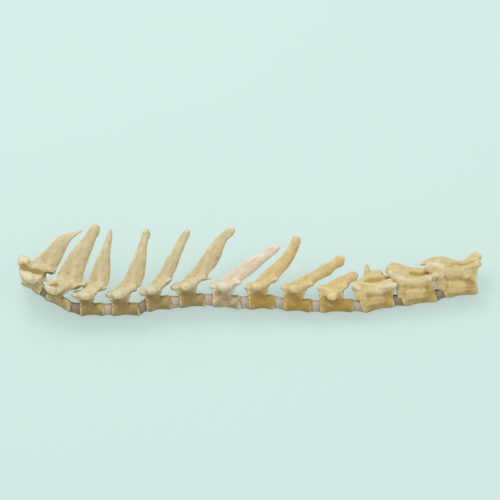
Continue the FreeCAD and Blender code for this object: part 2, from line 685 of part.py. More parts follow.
def support(points, centre):
    """The three points that carry a body set down with its weight at the centre."""
    corners = []
    for third in range(3):
        angle = 2.0 * math.pi * third / 3.0
        corners.append(centre + vector(math.cos(angle), math.sin(angle), 1.0) * FAR_AWAY)
    for attempt in range(SUPPORT_ATTEMPTS):
        normal = upward(corners)
        level = normal.dot(corners[0])
        lowest = min(points, key=normal.dot)
        if normal.dot(lowest) > level - REST_TOLERANCE * REST_TOLERANCE:
            return corners
        for index in range(3):
            trial = corners[:index] + [lowest] + corners[index + 1:]
            if abs(turned_way(*trial)) > 0.0 and carries(trial, centre):
                corners = trial
                break
        else:
            return corners
    return corners


def resting_place(pieces):
    """Placement that lays the column on its right side as it comes to rest."""
    points = tessellated(pieces)
    centre = centre_of_mass(pieces)
    laid = FreeCAD.Placement()
    for attempt in range(REST_ATTEMPTS):
        moved = [laid.multVec(point) for point in points]
        corners = support(moved, laid.multVec(centre))
        settle = FreeCAD.Rotation(upward(corners), vector(0.0, 0.0, 1.0))
        laid = FreeCAD.Placement(vector(0.0, 0.0), settle).multiply(laid)
        if abs(settle.Angle) < REST_ANGLE:
            break
    moved = [laid.multVec(point) for point in points]
    low_x = min(point.x for point in moved)
    high_x = max(point.x for point in moved)
    low_y = min(point.y for point in moved)
    high_y = max(point.y for point in moved)
    low_z = min(point.z for point in moved)
    shift = vector(-(low_x + high_x) * MIDDLE, -(low_y + high_y) * MIDDLE, -low_z)
    return FreeCAD.Placement(shift, FreeCAD.Rotation()).multiply(laid)


def main():
    """Build every piece, lay the column down and write each piece to its own file."""
    os.makedirs("parts", exist_ok=True)
    pieces = column()
    laid = resting_place(pieces)
    print("resting place", laid)
    for name, shape in pieces.items():
        shape.Placement = laid.multiply(shape.Placement)
        shape.exportStep("parts/" + name + ".step")
        print(name, len(shape.Solids), shape.isValid(), round(shape.Volume, 1))


main()
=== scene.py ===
import json
import logging
import math
from dataclasses import dataclass
from enum import Enum

import bmesh
import bpy
import numpy as np
from mathutils import Matrix, Vector, noise


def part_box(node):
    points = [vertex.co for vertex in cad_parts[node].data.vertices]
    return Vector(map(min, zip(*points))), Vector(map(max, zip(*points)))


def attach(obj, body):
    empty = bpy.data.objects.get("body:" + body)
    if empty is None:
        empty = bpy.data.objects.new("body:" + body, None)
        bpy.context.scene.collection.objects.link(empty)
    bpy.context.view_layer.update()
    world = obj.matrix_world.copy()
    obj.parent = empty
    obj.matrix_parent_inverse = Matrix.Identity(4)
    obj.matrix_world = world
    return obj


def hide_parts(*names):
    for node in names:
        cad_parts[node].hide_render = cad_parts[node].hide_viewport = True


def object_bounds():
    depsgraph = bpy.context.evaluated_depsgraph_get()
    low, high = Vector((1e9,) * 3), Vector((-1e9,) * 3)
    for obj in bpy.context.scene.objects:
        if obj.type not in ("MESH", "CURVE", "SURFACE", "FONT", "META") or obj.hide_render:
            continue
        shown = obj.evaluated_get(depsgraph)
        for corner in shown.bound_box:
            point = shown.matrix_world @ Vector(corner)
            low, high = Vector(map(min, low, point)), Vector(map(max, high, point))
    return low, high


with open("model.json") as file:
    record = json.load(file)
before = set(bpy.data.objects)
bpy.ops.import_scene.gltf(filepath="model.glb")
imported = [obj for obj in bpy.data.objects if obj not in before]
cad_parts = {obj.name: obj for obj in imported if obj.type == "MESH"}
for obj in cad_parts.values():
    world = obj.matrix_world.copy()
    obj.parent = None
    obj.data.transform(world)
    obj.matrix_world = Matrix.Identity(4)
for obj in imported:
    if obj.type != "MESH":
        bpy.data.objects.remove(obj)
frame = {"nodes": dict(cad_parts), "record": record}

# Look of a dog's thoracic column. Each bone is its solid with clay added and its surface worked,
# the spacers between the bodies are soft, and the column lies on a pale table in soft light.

# Box of the solids, kept before any piece is added
CAD_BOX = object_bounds()

LOG = logging.getLogger("column")

# A millimetre, the cells of the bones' and the spacers' meshes, and how near two corners are one
MM = 0.001
BONE_VOXEL = 0.45 * MM
SPACER_VOXEL = 0.35 * MM
WELD = 1e-6

# A distance beyond everything, in mm
FAR = 1e9

Colour = tuple[float, float, float]
Spot = tuple[float, float, float]
Ball = tuple[float, float, float, float]
Place = tuple[Vector, np.ndarray]


class Effect(Enum):
    """Named shader groups that several materials share."""

    GRAIN = "bone_grain"
    MOTTLE = "bone_mottle"
    PORES = "bone_pores"


class Form(Enum):
    """What a sculpted mark does to the surface."""

    HOLLOW = -1.0
    RIDGE = 1.0


@dataclass(frozen=True)
class Mark:
    """One sculpted mark along a path, in mm in a bone's own frame, the same on both sides."""

    form: Form
    path: tuple[Spot, ...]
    reach: float
    depth: float
    # Darkening along the mark: stain, and painted shade in its groove or hollow
    stain_and_shade: float = 0.0
    # Paleness along the mark: a painted highlight on its ridge
    pale: float = 0.0


def notch(spot: Spot, stain_and_shade: float) -> Mark:
    """Notch in front of an arch, at one spot, with shadow painted into it."""
    return Mark(Form.HOLLOW, (spot,), reach=2.8, depth=0.2, stain_and_shade=stain_and_shade)


@dataclass(frozen=True)
class Swell:
    """Added clay: the hull round a few balls, in mm in a bone's own frame, the same on both sides."""

    balls: tuple[Ball, ...]

    def add(self, shape: bmesh.types.BMesh, origin: np.ndarray, axes: np.ndarray) -> None:
        """Add the hull to a bone's rough shape, on both sides.

        Args:
            shape: The rough shape, in metres.
            origin: Origin of the bone's frame.
            axes: Axes of the bone's frame.
        """
        for hand in (1.0, -1.0):
            lump = bmesh.new()
            for x, y, z, radius in self.balls:
                centre = Vector(origin + np.array([x, y, z * hand]) * MM @ axes)
                bmesh.ops.create_icosphere(lump, subdivisions=2, radius=radius * MM,
                                           matrix=Matrix.Translation(centre))
            bmesh.ops.delete(lump, geom=lump.edges[:], context="EDGES_FACES")
            hull = bmesh.ops.convex_hull(lump, input=lump.verts[:])
            spare = [item for item in hull["geom_interior"] if isinstance(item, bmesh.types.BMVert)]
            bmesh.ops.delete(lump, geom=spare, context="VERTS")
            bmesh.ops.recalc_face_normals(lump, faces=lump.faces[:])
            carrier = bpy.data.meshes.new("lump")
            lump.to_mesh(carrier)
            lump.free()
            shape.from_mesh(carrier)
            bpy.data.meshes.remove(carrier)


@dataclass(frozen=True)
class Link:
    """Place of a bone in the chain, in mm and degrees."""

    gap: float
    rise: float
    turn: float
    length: float


class ColumnPlane:
    """Plane of symmetry of the column, worked out from the two end faces."""

    # Heading of the first bone, in degrees
    FIRST_HEADING = -33.0

    # How far the first face's mount lies above and to the left of the bone's own line, in mm
    FACE_CENTRE = 0.1
    FACE_SIDE = 3.5

    def __init__(self, mounts: dict) -> None:
        """Find the plane's directions and the middle of the first face.

        Args:
            mounts: The record's mounts by name.
        """
        head = -Vector(mounts["cranial_end_face"]["axis"])
        tail = Vector(mounts["caudal_end_face"]["axis"])
        self.out = head.cross(tail).normalized()
        turn = Matrix.Rotation(math.radians(-self.FIRST_HEADING), 3, self.out)
        self.right = (turn @ head).normalized()
        self.up = self.out.cross(self.right).normalized()
        middle = Vector(mounts["cranial_end_face"]["pos_m"])
        lift = self.direction(self.FIRST_HEADING + 90.0) * (self.FACE_CENTRE * MM)
        self.origin = middle - lift - self.out * (self.FACE_SIDE * MM)

    def direction(self, heading: float) -> Vector:
        """Unit vector in the plane.

        Args:
            heading: Angle from the plane's right, in degrees.

        Returns:
            The direction in the row frame.
        """
        angle = math.radians(heading)
        return self.right * math.cos(angle) + self.up * math.sin(angle)

    def point(self, across: float, upward: float, outward: float = 0.0) -> Vector:
        """Point given in the plane, in mm.

        Args:
            across: Distance to the right of the first face.
            upward: Distance above it.
            outward: Distance out of the plane, towards the animal's left.

        Returns:
            The point in the row frame, in metres.
        """
        return self.origin + (self.right * across + self.up * upward + self.out * outward) * MM


class Chain:
    """Frames of the bones, one after another along the column."""

    def __init__(self, plane: ColumnPlane, links: list[Link]) -> None:
        """Follow the chain from the head end.

        Args:
            plane: The column's plane.
            links: Place of each bone from the one in front.
        """
        self.frames: list[Place] = []
        heading = plane.FIRST_HEADING
        end = plane.point(0.0, 0.0)
        for link in links:
            ahead, dorsal = plane.direction(heading), plane.direction(heading + 90.0)
            start = end + (ahead * link.gap + dorsal * link.rise) * MM
            heading += link.turn
            ahead, dorsal = plane.direction(heading), plane.direction(heading + 90.0)
            self.frames.append((start, np.array([ahead, dorsal, plane.out], float)))
            end = start + ahead * (link.length * MM)


class Clay:
    """A remeshed copy of a solid, held as arrays in a bone's own frame, in mm."""

    # Share of the way to the neighbours' mean in a smoothing step, and back in the next one
    SMOOTH_IN = 0.6
    SMOOTH_OUT = -0.62

    # Depth at which a corner counts as a crease, in mm, and how far a filled one is eased
    CREASE_DEPTH = 0.03
    CREASE_EASE = 0.5

    # Length given to a mark's path of one spot, in mm
    SPOT_LENGTH = 1e-6

    def __init__(self, node: str, place: Place, voxel: float,
                 swells: tuple[Swell, ...] = ()) -> None:
        """Take the solid's surface, add clay and mesh it evenly.

        Args:
            node: Name of the solid.
            place: Origin and axes of the bone's frame.
            voxel: Size of the new mesh's cells, in metres.
            swells: Clay to add before meshing.
        """
        self.origin, self.axes = np.array(place[0], float), place[1]
        shape = bmesh.new()
        shape.from_mesh(frame["nodes"][node].data)
        bmesh.ops.remove_doubles(shape, verts=shape.verts, dist=WELD)
        for swell in swells:
            swell.add(shape, self.origin, self.axes)
        rough = bpy.data.meshes.new(node + "_rough")
        shape.to_mesh(rough)
        shape.free()
        carrier = bpy.data.objects.new(node + "_rough", rough)
        bpy.context.scene.collection.objects.link(carrier)
        remesh = carrier.modifiers.new("even", "REMESH")
        remesh.mode = "VOXEL"
        remesh.voxel_size = voxel
        remesh.use_smooth_shade = True
        bpy.context.view_layer.update()
        evaluated = carrier.evaluated_get(bpy.context.evaluated_depsgraph_get())
        self.mesh = bpy.data.meshes.new_from_object(evaluated)
        self.mesh.name = node + "_look"
        bpy.data.objects.remove(carrier)
        bpy.data.meshes.remove(rough)
        edges = np.zeros(len(self.mesh.edges) * 2, np.int32)
        self.mesh.edges.foreach_get("vertices", edges)
        self.edges = edges.reshape(-1, 2)
        self.count = len(self.mesh.vertices)
        self.valence = np.bincount(self.edges.ravel(), minlength=self.count).astype(float)
        world = np.zeros(self.count * 3, np.float32)
        self.mesh.vertices.foreach_get("co", world)
        self.points = (world.reshape(-1, 3).astype(float) - self.origin) @ self.axes.T / MM

    def averaged(self, values: np.ndarray, rounds: int, share: float = 0.6) -> np.ndarray:
        """Spread values over neighbours.

        Args:
            values: One row for each vertex.
            rounds: How many times they spread.
            share: How far each value moves towards its neighbours' mean.

        Returns:
            The smoothed values.
        """
        result = values.copy()
        first, second = self.edges[:, 0], self.edges[:, 1]
        for _ in range(rounds):
            total = np.zeros_like(result)
            for column in range(result.shape[1]):
                total[:, column] = np.bincount(first, result[second, column], self.count)
                total[:, column] += np.bincount(second, result[first, column], self.count)
            result += (total / self.valence[:, None] - result) * share
        return result

    def smooth(self, rounds: int) -> None:
        """Smooth the surface without shrinking it much.

        Args:
            rounds: How many smoothing steps, each followed by one outward step.
        """
        for _ in range(rounds):
            self.points = self.averaged(self.points, 1, self.SMOOTH_IN)
            self.points = self.averaged(self.points, 1, self.SMOOTH_OUT)

    def fill_creases(self, rounds: int, width: int, share: float) -> None:
        """Round off the inner corners, as bone does, and leave thin edges alone.

        Args:
            rounds: How many times the creases are filled.
            width: How wide each filling reaches.
            share: How much of the depth each round fills.
        """
        for _ in range(rounds):
            wide = self.averaged(self.points, width)
            normals = self.normals()
            lift = np.einsum("ij,ij->i", normals, wide - self.points)
            self.points += normals * (np.clip(lift - self.CREASE_DEPTH, 0.0, None) * share)[:, None]
            self.points = self.averaged(self.points, 1, self.CREASE_EASE)

    def normals(self) -> np.ndarray:
        """Work out which way the surface faces.

        Returns:
            Outward direction of each vertex, in the bone's own frame.
        """
        self.write_points()
        flat = np.zeros(self.count * 3, np.float32)
        self.mesh.vertex_normals.foreach_get("vector", flat)
        return flat.reshape(-1, 3).astype(float) @ self.axes.T

    def hollowness(self, rounds: int) -> np.ndarray:
        """How far each vertex lies under the smoothed surface, in mm.

        Args:
            rounds: How wide the comparison reaches.

        Returns:
            Positive values in hollows, negative ones on ridges.
        """
        wide = self.averaged(self.points, rounds)
        return np.einsum("ij,ij->i", self.normals(), wide - self.points)

    def nearness(self, mark: Mark) -> np.ndarray:
        """Smooth weight of a mark at each vertex.

        Args:
            mark: The mark, drawn on the animal's left side.

        Returns:
            One on the mark's path, nothing beyond its reach.
        """
        mirrored = self.points.copy()
        mirrored[:, 2] = np.abs(mirrored[:, 2])
        path = np.array(mark.path, float)
        if len(path) == 1:
            path = np.vstack([path, path + self.SPOT_LENGTH])
        near = np.full(self.count, FAR)
        for start, end in zip(path[:-1], path[1:]):
            run = end - start
            share = np.clip((mirrored - start) @ run / (run @ run), 0.0, 1.0)
            gap = np.linalg.norm(mirrored - start - share[:, None] * run, axis=1)
            near = np.minimum(near, gap)
        fall = np.clip(1.0 - near / mark.reach, 0.0, 1.0)
        return fall * fall * (3.0 - 2.0 * fall)

    def write_points(self) -> None:
        """Put the worked points back into the mesh, inside the solids' box."""
        world = self.points * MM @ self.axes + self.origin
        world = np.clip(world, np.array(CAD_BOX[0]), np.array(CAD_BOX[1]))
        self.mesh.vertices.foreach_set("co", world.astype(np.float32).ravel())
        self.mesh.update()

    def write_mask(self, name: str, values: np.ndarray) -> None:
        """Store a mask from 0 to 1 on the mesh.

        Args:
            name: Attribute's name, which the materials read.
            values: One value for each vertex.
        """
        layer = self.mesh.attributes.new(name, "FLOAT", "POINT")
        layer.data.foreach_set("value", np.clip(values, 0.0, 1.0).astype(np.float32))

    def write_vector(self, name: str, values: np.ndarray) -> None:
        """Store a vector on the mesh.

        Args:
            name: Attribute's name, which the materials read.
            values: One row for each vertex.
        """
        layer = self.mesh.attributes.new(name, "FLOAT_VECTOR", "POINT")
        layer.data.foreach_set("vector", values.astype(np.float32).ravel())


class Nodes:
    """Short ways to lay out a node tree."""

    def __init__(self, tree: bpy.types.NodeTree) -> None:
        """Work on a tree.

        Args:
            tree: A material's tree or a group.
        """
        self.tree = tree

    def add(self, kind: str, **settings: object) -> bpy.types.Node:
        """Add a node.

        Args:
            kind: Node type.
            settings: Its plain properties.

        Returns:
            The node.
        """
        node = self.tree.nodes.new(kind)
        for name, value in settings.items():
            setattr(node, name, value)
        return node

    def join(self, source: bpy.types.NodeSocket, target: bpy.types.NodeSocket) -> None:
        """Link two sockets."""
        self.tree.links.new(source, target)

    def noise(self, position: bpy.types.NodeSocket, scale: bpy.types.NodeSocket,
              detail: float, roughness: float) -> bpy.types.NodeSocket:
        """Cloudy noise.

        Args:
            position: Where it is read.
            scale: How fine it is.
            detail: How many finer layers it has.
            roughness: How strong those are.

        Returns:
            Its value.
        """
        node = self.add("ShaderNodeTexNoise")
        node.inputs["Detail"].default_value = detail
        node.inputs["Roughness"].default_value = roughness
        self.join(position, node.inputs["Vector"])
        self.join(scale, node.inputs["Scale"])
        return node.outputs["Fac"]

    def ramp(self, source: bpy.types.NodeSocket, low: float, high: float,
             bottom: float = 0.0, top: float = 1.0) -> bpy.types.NodeSocket:
        """Map a range smoothly to another.

        Args:
            source: Value to map.
            low: Where the range starts.
            high: Where it ends.
            bottom: Result at the start.
            top: Result at the end.

        Returns:
            The mapped value.
        """
        node = self.add("ShaderNodeMapRange", interpolation_type="SMOOTHSTEP")
        self.join(source, node.inputs["Value"])
        node.inputs["From Min"].default_value = low
        node.inputs["From Max"].default_value = high
        node.inputs["To Min"].default_value = bottom
        node.inputs["To Max"].default_value = top
        return node.outputs["Result"]

    def maths(self, operation: str, first: object, second: object) -> bpy.types.NodeSocket:
        """Combine two values.

        Args:
            operation: Name of the operation.
            first: Socket or number.
            second: Socket or number.

        Returns:
            The result.
        """
        node = self.add("ShaderNodeMath", operation=operation)
        for place, value in enumerate((first, second)):
            if isinstance(value, bpy.types.NodeSocket):
                self.join(value, node.inputs[place])
            else:
                node.inputs[place].default_value = value
        return node.outputs["Value"]

    def mix(self, factor: object, first: object, second: object) -> bpy.types.NodeSocket:
        """Mix two colours.

        Args:
            factor: Socket or number, 0 for the first colour.
            first: Socket or colour.
            second: Socket or colour.

        Returns:
            The mixed colour.
        """
        node = self.add("ShaderNodeMix", data_type="RGBA")
        for place, value in ((0, factor), (6, first), (7, second)):
            if isinstance(value, bpy.types.NodeSocket):
                self.join(value, node.inputs[place])
            else:
                node.inputs[place].default_value = value
        return node.outputs[2]

    def mask(self, name: str) -> bpy.types.NodeSocket:
        """Value of a mask that the mesh carries."""
        return self.add("ShaderNodeAttribute", attribute_name=name).outputs["Fac"]

    def grain_place(self) -> bpy.types.NodeSocket:
        """Position that the patterns follow, in mm, which the mesh carries."""
        return self.add("ShaderNodeAttribute", attribute_name="grain").outputs["Vector"]

    def bump(self, height: bpy.types.NodeSocket, shader: bpy.types.Node,
             strength: float, distance: float) -> None:
        """Give a shader a fine relief.

        Args:
            height: Height of the relief.
            shader: Shader whose normal it bends.
            strength: How strongly.
            distance: Height of the relief at 1, in mm.
        """
        node = self.add("ShaderNodeBump")
        node.inputs["Strength"].default_value = strength
        node.inputs["Distance"].default_value = distance * MM
        self.join(height, node.inputs["Height"])
        self.join(node.outputs["Normal"], shader.inputs["Normal"])


class GroupNodes(Nodes):
    """Layout of a shader group, with its input and output nodes."""

    def __init__(self, tree: bpy.types.NodeTree) -> None:
        """Work on a group.

        Args:
            tree: The group, with its sockets made.
        """
        super().__init__(tree)
        self.source = self.add("NodeGroupInput")
        self.target = self.add("NodeGroupOutput")


def start_material(name: str) -> tuple[bpy.types.Material, Nodes, bpy.types.Node]:
    """Open a material with one shader.

    Args:
        name: Material's name.

    Returns:
        The material, its layout helper and its shader.
    """
    result = bpy.data.materials.new(name)
    result.use_nodes = True
    result.node_tree.nodes.clear()
    nodes = Nodes(result.node_tree)
    shader = nodes.add("ShaderNodeBsdfPrincipled")
    output = nodes.add("ShaderNodeOutputMaterial")
    nodes.join(shader.outputs["BSDF"], output.inputs["Surface"])
    return result, nodes, shader


def stand_for(node: str, mesh: bpy.types.Mesh, name: str,
              material: bpy.types.Material) -> None:
    """Let a finished mesh stand for its solid, and report it.

    Args:
        node: Name of the solid.
        mesh: The finished mesh.
        name: The piece's name.
        material: The piece's finish.
    """
    mesh.materials.clear()
    mesh.materials.append(material)
    piece = bpy.data.objects.new(name, mesh)
    bpy.context.scene.collection.objects.link(piece)
    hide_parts(node)
    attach(piece, "root")
    LOG.info("%s: %d vertices", piece.name, len(mesh.vertices))


def srgb(red: float, green: float, blue: float) -> tuple[float, float, float, float]:
    """Linear colour from the screen's values.

    Args:
        red: Red from 0 to 1 as shown.
        green: Green.
        blue: Blue.

    Returns:
        The linear colour with full alpha.
    """
    shown = (red, green, blue)
    linear = [c / 12.92 if c < 0.04045 else ((c + 0.055) / 1.055) ** 2.4 for c in shown]
    return (linear[0], linear[1], linear[2], 1.0)


class EffectLibrary:
    """Builds the shader groups that the materials share, each once."""

    # How far the fibres are drawn out, and the noise values between which they show
    FIBRE_STRETCH = (0.09, 0.9, 0.9)
    FIBRE_RANGE = (0.36, 0.66)

    # Outputs of the mottle: share of the pattern's scale, and the noise values where they show
    TONES = (("Patch", 0.11, 0.34, 0.68), ("Fleck", 0.55, 0.60, 0.74))

    # Distances from a pit's middle where it fades, and which of the cells have one
    PIT_RANGE = (0.10, 0.26)
    PIT_CHOICE = (0.55, 0.75)
    PIT_SLOPE = (0.0, 0.5)

    def __init__(self) -> None:
        """Make every group."""
        self.groups = {
            Effect.GRAIN: self.grain(),
            Effect.MOTTLE: self.mottle(),
            Effect.PORES: self.pores(),
        }

    def start(self, effect: Effect, outputs: tuple[str, ...]) -> GroupNodes:
        """Open a group that takes a position and a scale.

        Args:
            effect: Which group.
            outputs: Names of its outputs, all values.

        Returns:
            The layout helper, with the group's input and output nodes made.
        """
        tree = bpy.data.node_groups.new(effect.value, "ShaderNodeTree")
        tree.interface.new_socket("Position", in_out="INPUT", socket_type="NodeSocketVector")
        scale = tree.interface.new_socket("Scale", in_out="INPUT", socket_type="NodeSocketFloat")
        scale.default_value = 1.0
        for name in outputs:
            tree.interface.new_socket(name, in_out="OUTPUT", socket_type="NodeSocketFloat")
        return GroupNodes(tree)

    def grain(self) -> bpy.types.NodeTree:
        """Long fibres: noise stretched along the position's first axis.

        Returns:
            The group, with outputs Fibre and Height.
        """
        nodes = self.start(Effect.GRAIN, ("Fibre", "Height"))
        stretch = nodes.add("ShaderNodeVectorMath", operation="MULTIPLY")
        stretch.inputs[1].default_value = self.FIBRE_STRETCH
        nodes.join(nodes.source.outputs["Position"], stretch.inputs[0])
        fibres = nodes.noise(stretch.outputs[0], nodes.source.outputs["Scale"], 5.0, 0.62)
        nodes.join(nodes.ramp(fibres, *self.FIBRE_RANGE), nodes.target.inputs["Fibre"])
        nodes.join(fibres, nodes.target.inputs["Height"])
        return nodes.tree

    def mottle(self) -> bpy.types.NodeTree:
        """Slow change of tone over the bone.

        Returns:
            The group, with outputs Patch and Fleck.
        """
        nodes = self.start(Effect.MOTTLE, ("Patch", "Fleck"))
        for name, factor, low, high in self.TONES:
            scale = nodes.maths("MULTIPLY", nodes.source.outputs["Scale"], factor)
            cloud = nodes.noise(nodes.source.outputs["Position"], scale, 4.0, 0.55)
            nodes.join(nodes.ramp(cloud, low, high), nodes.target.inputs[name])
        return nodes.tree

    def pores(self) -> bpy.types.NodeTree:
        """Small pits where the blood vessels went in.

        Returns:
            The group, with outputs Pit and Height.
        """
        nodes = self.start(Effect.PORES, ("Pit", "Height"))
        cells = nodes.add("ShaderNodeTexVoronoi", feature="F1")
        nodes.join(nodes.source.outputs["Position"], cells.inputs["Vector"])
        nodes.join(nodes.source.outputs["Scale"], cells.inputs["Scale"])
        pit = nodes.ramp(cells.outputs["Distance"], *self.PIT_RANGE, 1.0, 0.0)
        chosen = nodes.add("ShaderNodeSeparateColor")
        nodes.join(cells.outputs["Color"], chosen.inputs["Color"])
        some = nodes.ramp(chosen.outputs["Red"], *self.PIT_CHOICE)
        nodes.join(nodes.maths("MULTIPLY", pit, some), nodes.target.inputs["Pit"])
        height = nodes.ramp(cells.outputs["Distance"], *self.PIT_SLOPE)
        nodes.join(height, nodes.target.inputs["Height"])
        return nodes.tree

    def place(self, nodes: Nodes, effect: Effect, position: bpy.types.NodeSocket,
              scale: float) -> bpy.types.Node:
        """Put a group into a material.

        Args:
            nodes: The material's layout helper.
            effect: Which group.
            position: Position that the pattern follows, in mm.
            scale: Pattern's scale.

        Returns:
            The group node.
        """
        node = nodes.add("ShaderNodeGroup")
        node.node_tree = self.groups[effect]
        nodes.join(position, node.inputs["Position"])
        node.inputs["Scale"].default_value = scale
        return node


@dataclass(frozen=True)
class BoneFinish:
    """Dry bone: its tones as shown on the screen, how stained it is, and what moves its tone. Its darkest
    tone takes both stain and painted shade, and its pale tone takes painted highlights.
    """

    name: str
    slot: str
    pale: Colour
    middle: Colour
    stained_and_shaded: Colour
    deep: Colour
    tone: float
    hollow_share: float = 0.55
    stain_and_shade_share: float = 0.8
    patch_share: float = 0.22
    fibre_share: float = 0.30
    fibre_loss: float = 0.22
    edge_share: float = 0.35
    wear_and_highlight_share: float = 0.6
    fleck_share: float = 0.22
    pit_share: float = 0.6
    pit_floor: float = 0.12
    pit_scale: float = 0.8
    pit_depth: float = 0.7
    grain_height: float = 0.8
    roughness: float = 0.52
    rougher: float = 0.2

    def material(self, effects: EffectLibrary) -> bpy.types.Material:
        """Build the material.

        Args:
            effects: The shared shader groups.

        Returns:
            The material, which reads the masks that the bones' meshes carry.
        """
        result, nodes, shader = start_material(self.name)
        fibre_place = nodes.grain_place()
        grain = effects.place(nodes, Effect.GRAIN, fibre_place, 1.0)
        mottle = effects.place(nodes, Effect.MOTTLE, fibre_place, 1.0)
        pores = effects.place(nodes, Effect.PORES, fibre_place, self.pit_scale)
        stain_and_shade = nodes.mask("stain_and_shade")
        # Darker in the wide hollows: partly stain that dry bone keeps there, partly painted shade
        amount = nodes.maths("MULTIPLY", nodes.mask("hollow"), self.hollow_share)
        amount = nodes.maths("ADD", amount, nodes.maths("MULTIPLY", stain_and_shade, self.stain_and_shade_share))
        patch = nodes.maths("MULTIPLY", mottle.outputs["Patch"], self.patch_share)
        amount = nodes.maths("ADD", amount, patch)
        lost = nodes.maths("MULTIPLY", stain_and_shade, self.fibre_loss)
        clear = nodes.maths("SUBTRACT", self.fibre_share, lost)
        amount = nodes.maths("ADD", amount, nodes.maths("MULTIPLY", grain.outputs["Fibre"], clear))
        amount = nodes.maths("ADD", amount, self.tone)
        # Paler on worn edges, and with painted highlights along the marked ridges
        edge = nodes.maths("MULTIPLY", nodes.mask("edge"), self.edge_share)
        wear_and_highlight = nodes.maths("ADD", edge, nodes.mask("light"))
        amount = nodes.maths("SUBTRACT", amount, nodes.maths("MULTIPLY", wear_and_highlight, self.wear_and_highlight_share))
        upper = nodes.mix(nodes.ramp(amount, 0.0, 0.5), srgb(*self.pale), srgb(*self.middle))
        colour = nodes.mix(nodes.ramp(amount, 0.45, 1.0), upper, srgb(*self.stained_and_shaded))
        fleck = nodes.maths("MULTIPLY", mottle.outputs["Fleck"], self.fleck_share)
        colour = nodes.mix(fleck, colour, srgb(*self.pale))
        porous = nodes.maths("ADD", nodes.mask("porous"), self.pit_floor)
        pit = nodes.maths("MULTIPLY", pores.outputs["Pit"], porous)
        colour = nodes.mix(nodes.maths("MULTIPLY", pit, self.pit_share), colour, srgb(*self.deep))
        nodes.join(colour, shader.inputs["Base Color"])
        rough = nodes.ramp(amount, 0.0, 1.0, self.roughness, self.roughness + self.rougher)
        nodes.join(rough, shader.inputs["Roughness"])
        shader.inputs["Specular IOR Level"].default_value = 0.35
        height = nodes.maths("MULTIPLY", grain.outputs["Height"], self.grain_height)
        height = nodes.maths("SUBTRACT", height, nodes.maths("MULTIPLY", pit, self.pit_depth))
        nodes.bump(height, shader, strength=0.55, distance=0.25)
        return result


@dataclass(frozen=True)
class SpacerFinish:
    """Translucent grey-pink silicone with faint streaks."""

    name: str
    body: Colour
    streak: Colour
    shade: Colour
    middle_share: float = 0.7
    patch_share: float = 0.35
    edge_share: float = 0.8

    def material(self, effects: EffectLibrary) -> bpy.types.Material:
        """Build the material.

        Args:
            effects: The shared shader groups.

        Returns:
            The material.
        """
        result, nodes, shader = start_material(self.name)
        mottle = effects.place(nodes, Effect.MOTTLE, nodes.grain_place(), 3.0)
        middle = nodes.maths("MULTIPLY", nodes.mask("middle"), self.middle_share)
        patch = nodes.maths("MULTIPLY", mottle.outputs["Patch"], self.patch_share)
        edge = nodes.maths("MULTIPLY", nodes.mask("edge"), self.edge_share)
        colour = nodes.mix(middle, srgb(*self.body), srgb(*self.streak))
        colour = nodes.mix(patch, colour, srgb(*self.streak))
        colour = nodes.mix(edge, colour, srgb(*self.shade))
        nodes.join(colour, shader.inputs["Base Color"])
        rough = nodes.ramp(mottle.outputs["Patch"], 0.0, 1.0, 0.38, 0.5)
        nodes.join(rough, shader.inputs["Roughness"])
        shader.inputs["Subsurface Weight"].default_value = 0.25
        shader.inputs["Subsurface Radius"].default_value = (1.0 * MM, 0.6 * MM, 0.5 * MM)
        shader.inputs["Subsurface Scale"].default_value = 1.0
        nodes.bump(mottle.outputs["Fleck"], shader, strength=0.3, distance=0.15)
        return result


@dataclass(frozen=True)
class Shoulder:
    """Slope of bone from the root of the spinous process out to the transverse process, in mm."""

    # Where the slope starts before and behind the process's line, in shares of its width
    front_share: float = 0.30
    back_share: float = 0.22

    # The slope's upper balls: how far under the root, how far out, and their radius
    front_drop: float = 2.0
    back_drop: float = 1.6
    root_side: float = 1.6
    root_radius: float = 1.4

    # Balls of the ledge and the lip, from the tip of the transverse process
    ledge: tuple[Ball, ...] = ((-3.2, 0.4, -4.2, 1.7), (3.4, 0.2, -4.4, 1.9))
    lip: tuple[Ball, ...] = ((-1.0, 0.0, -2.4, 2.3), (1.2, 0.0, -2.6, 2.3))

    def swells(self, root: Spot, tip: Spot) -> tuple[Swell, ...]:
        """Clay of the slope and of its lip.

        Args:
            root: The spinous process's first station: along, up and its width.
            tip: Tip of the transverse process.

        Returns:
            The two lumps.
        """
        along, up, width = root
        upper = (
            (along - width * self.front_share, up - self.front_drop, self.root_side, self.root_radius),
            (along + width * self.back_share, up - self.back_drop, self.root_side, self.root_radius),
        )
        x, y, z = tip
        ledge, lip = (
            tuple((x + ball[0], y + ball[1], z + ball[2], ball[3]) for ball in balls)
            for balls in (self.ledge, self.lip)
        )
        return Swell(upper + ledge), Swell(ledge + lip)


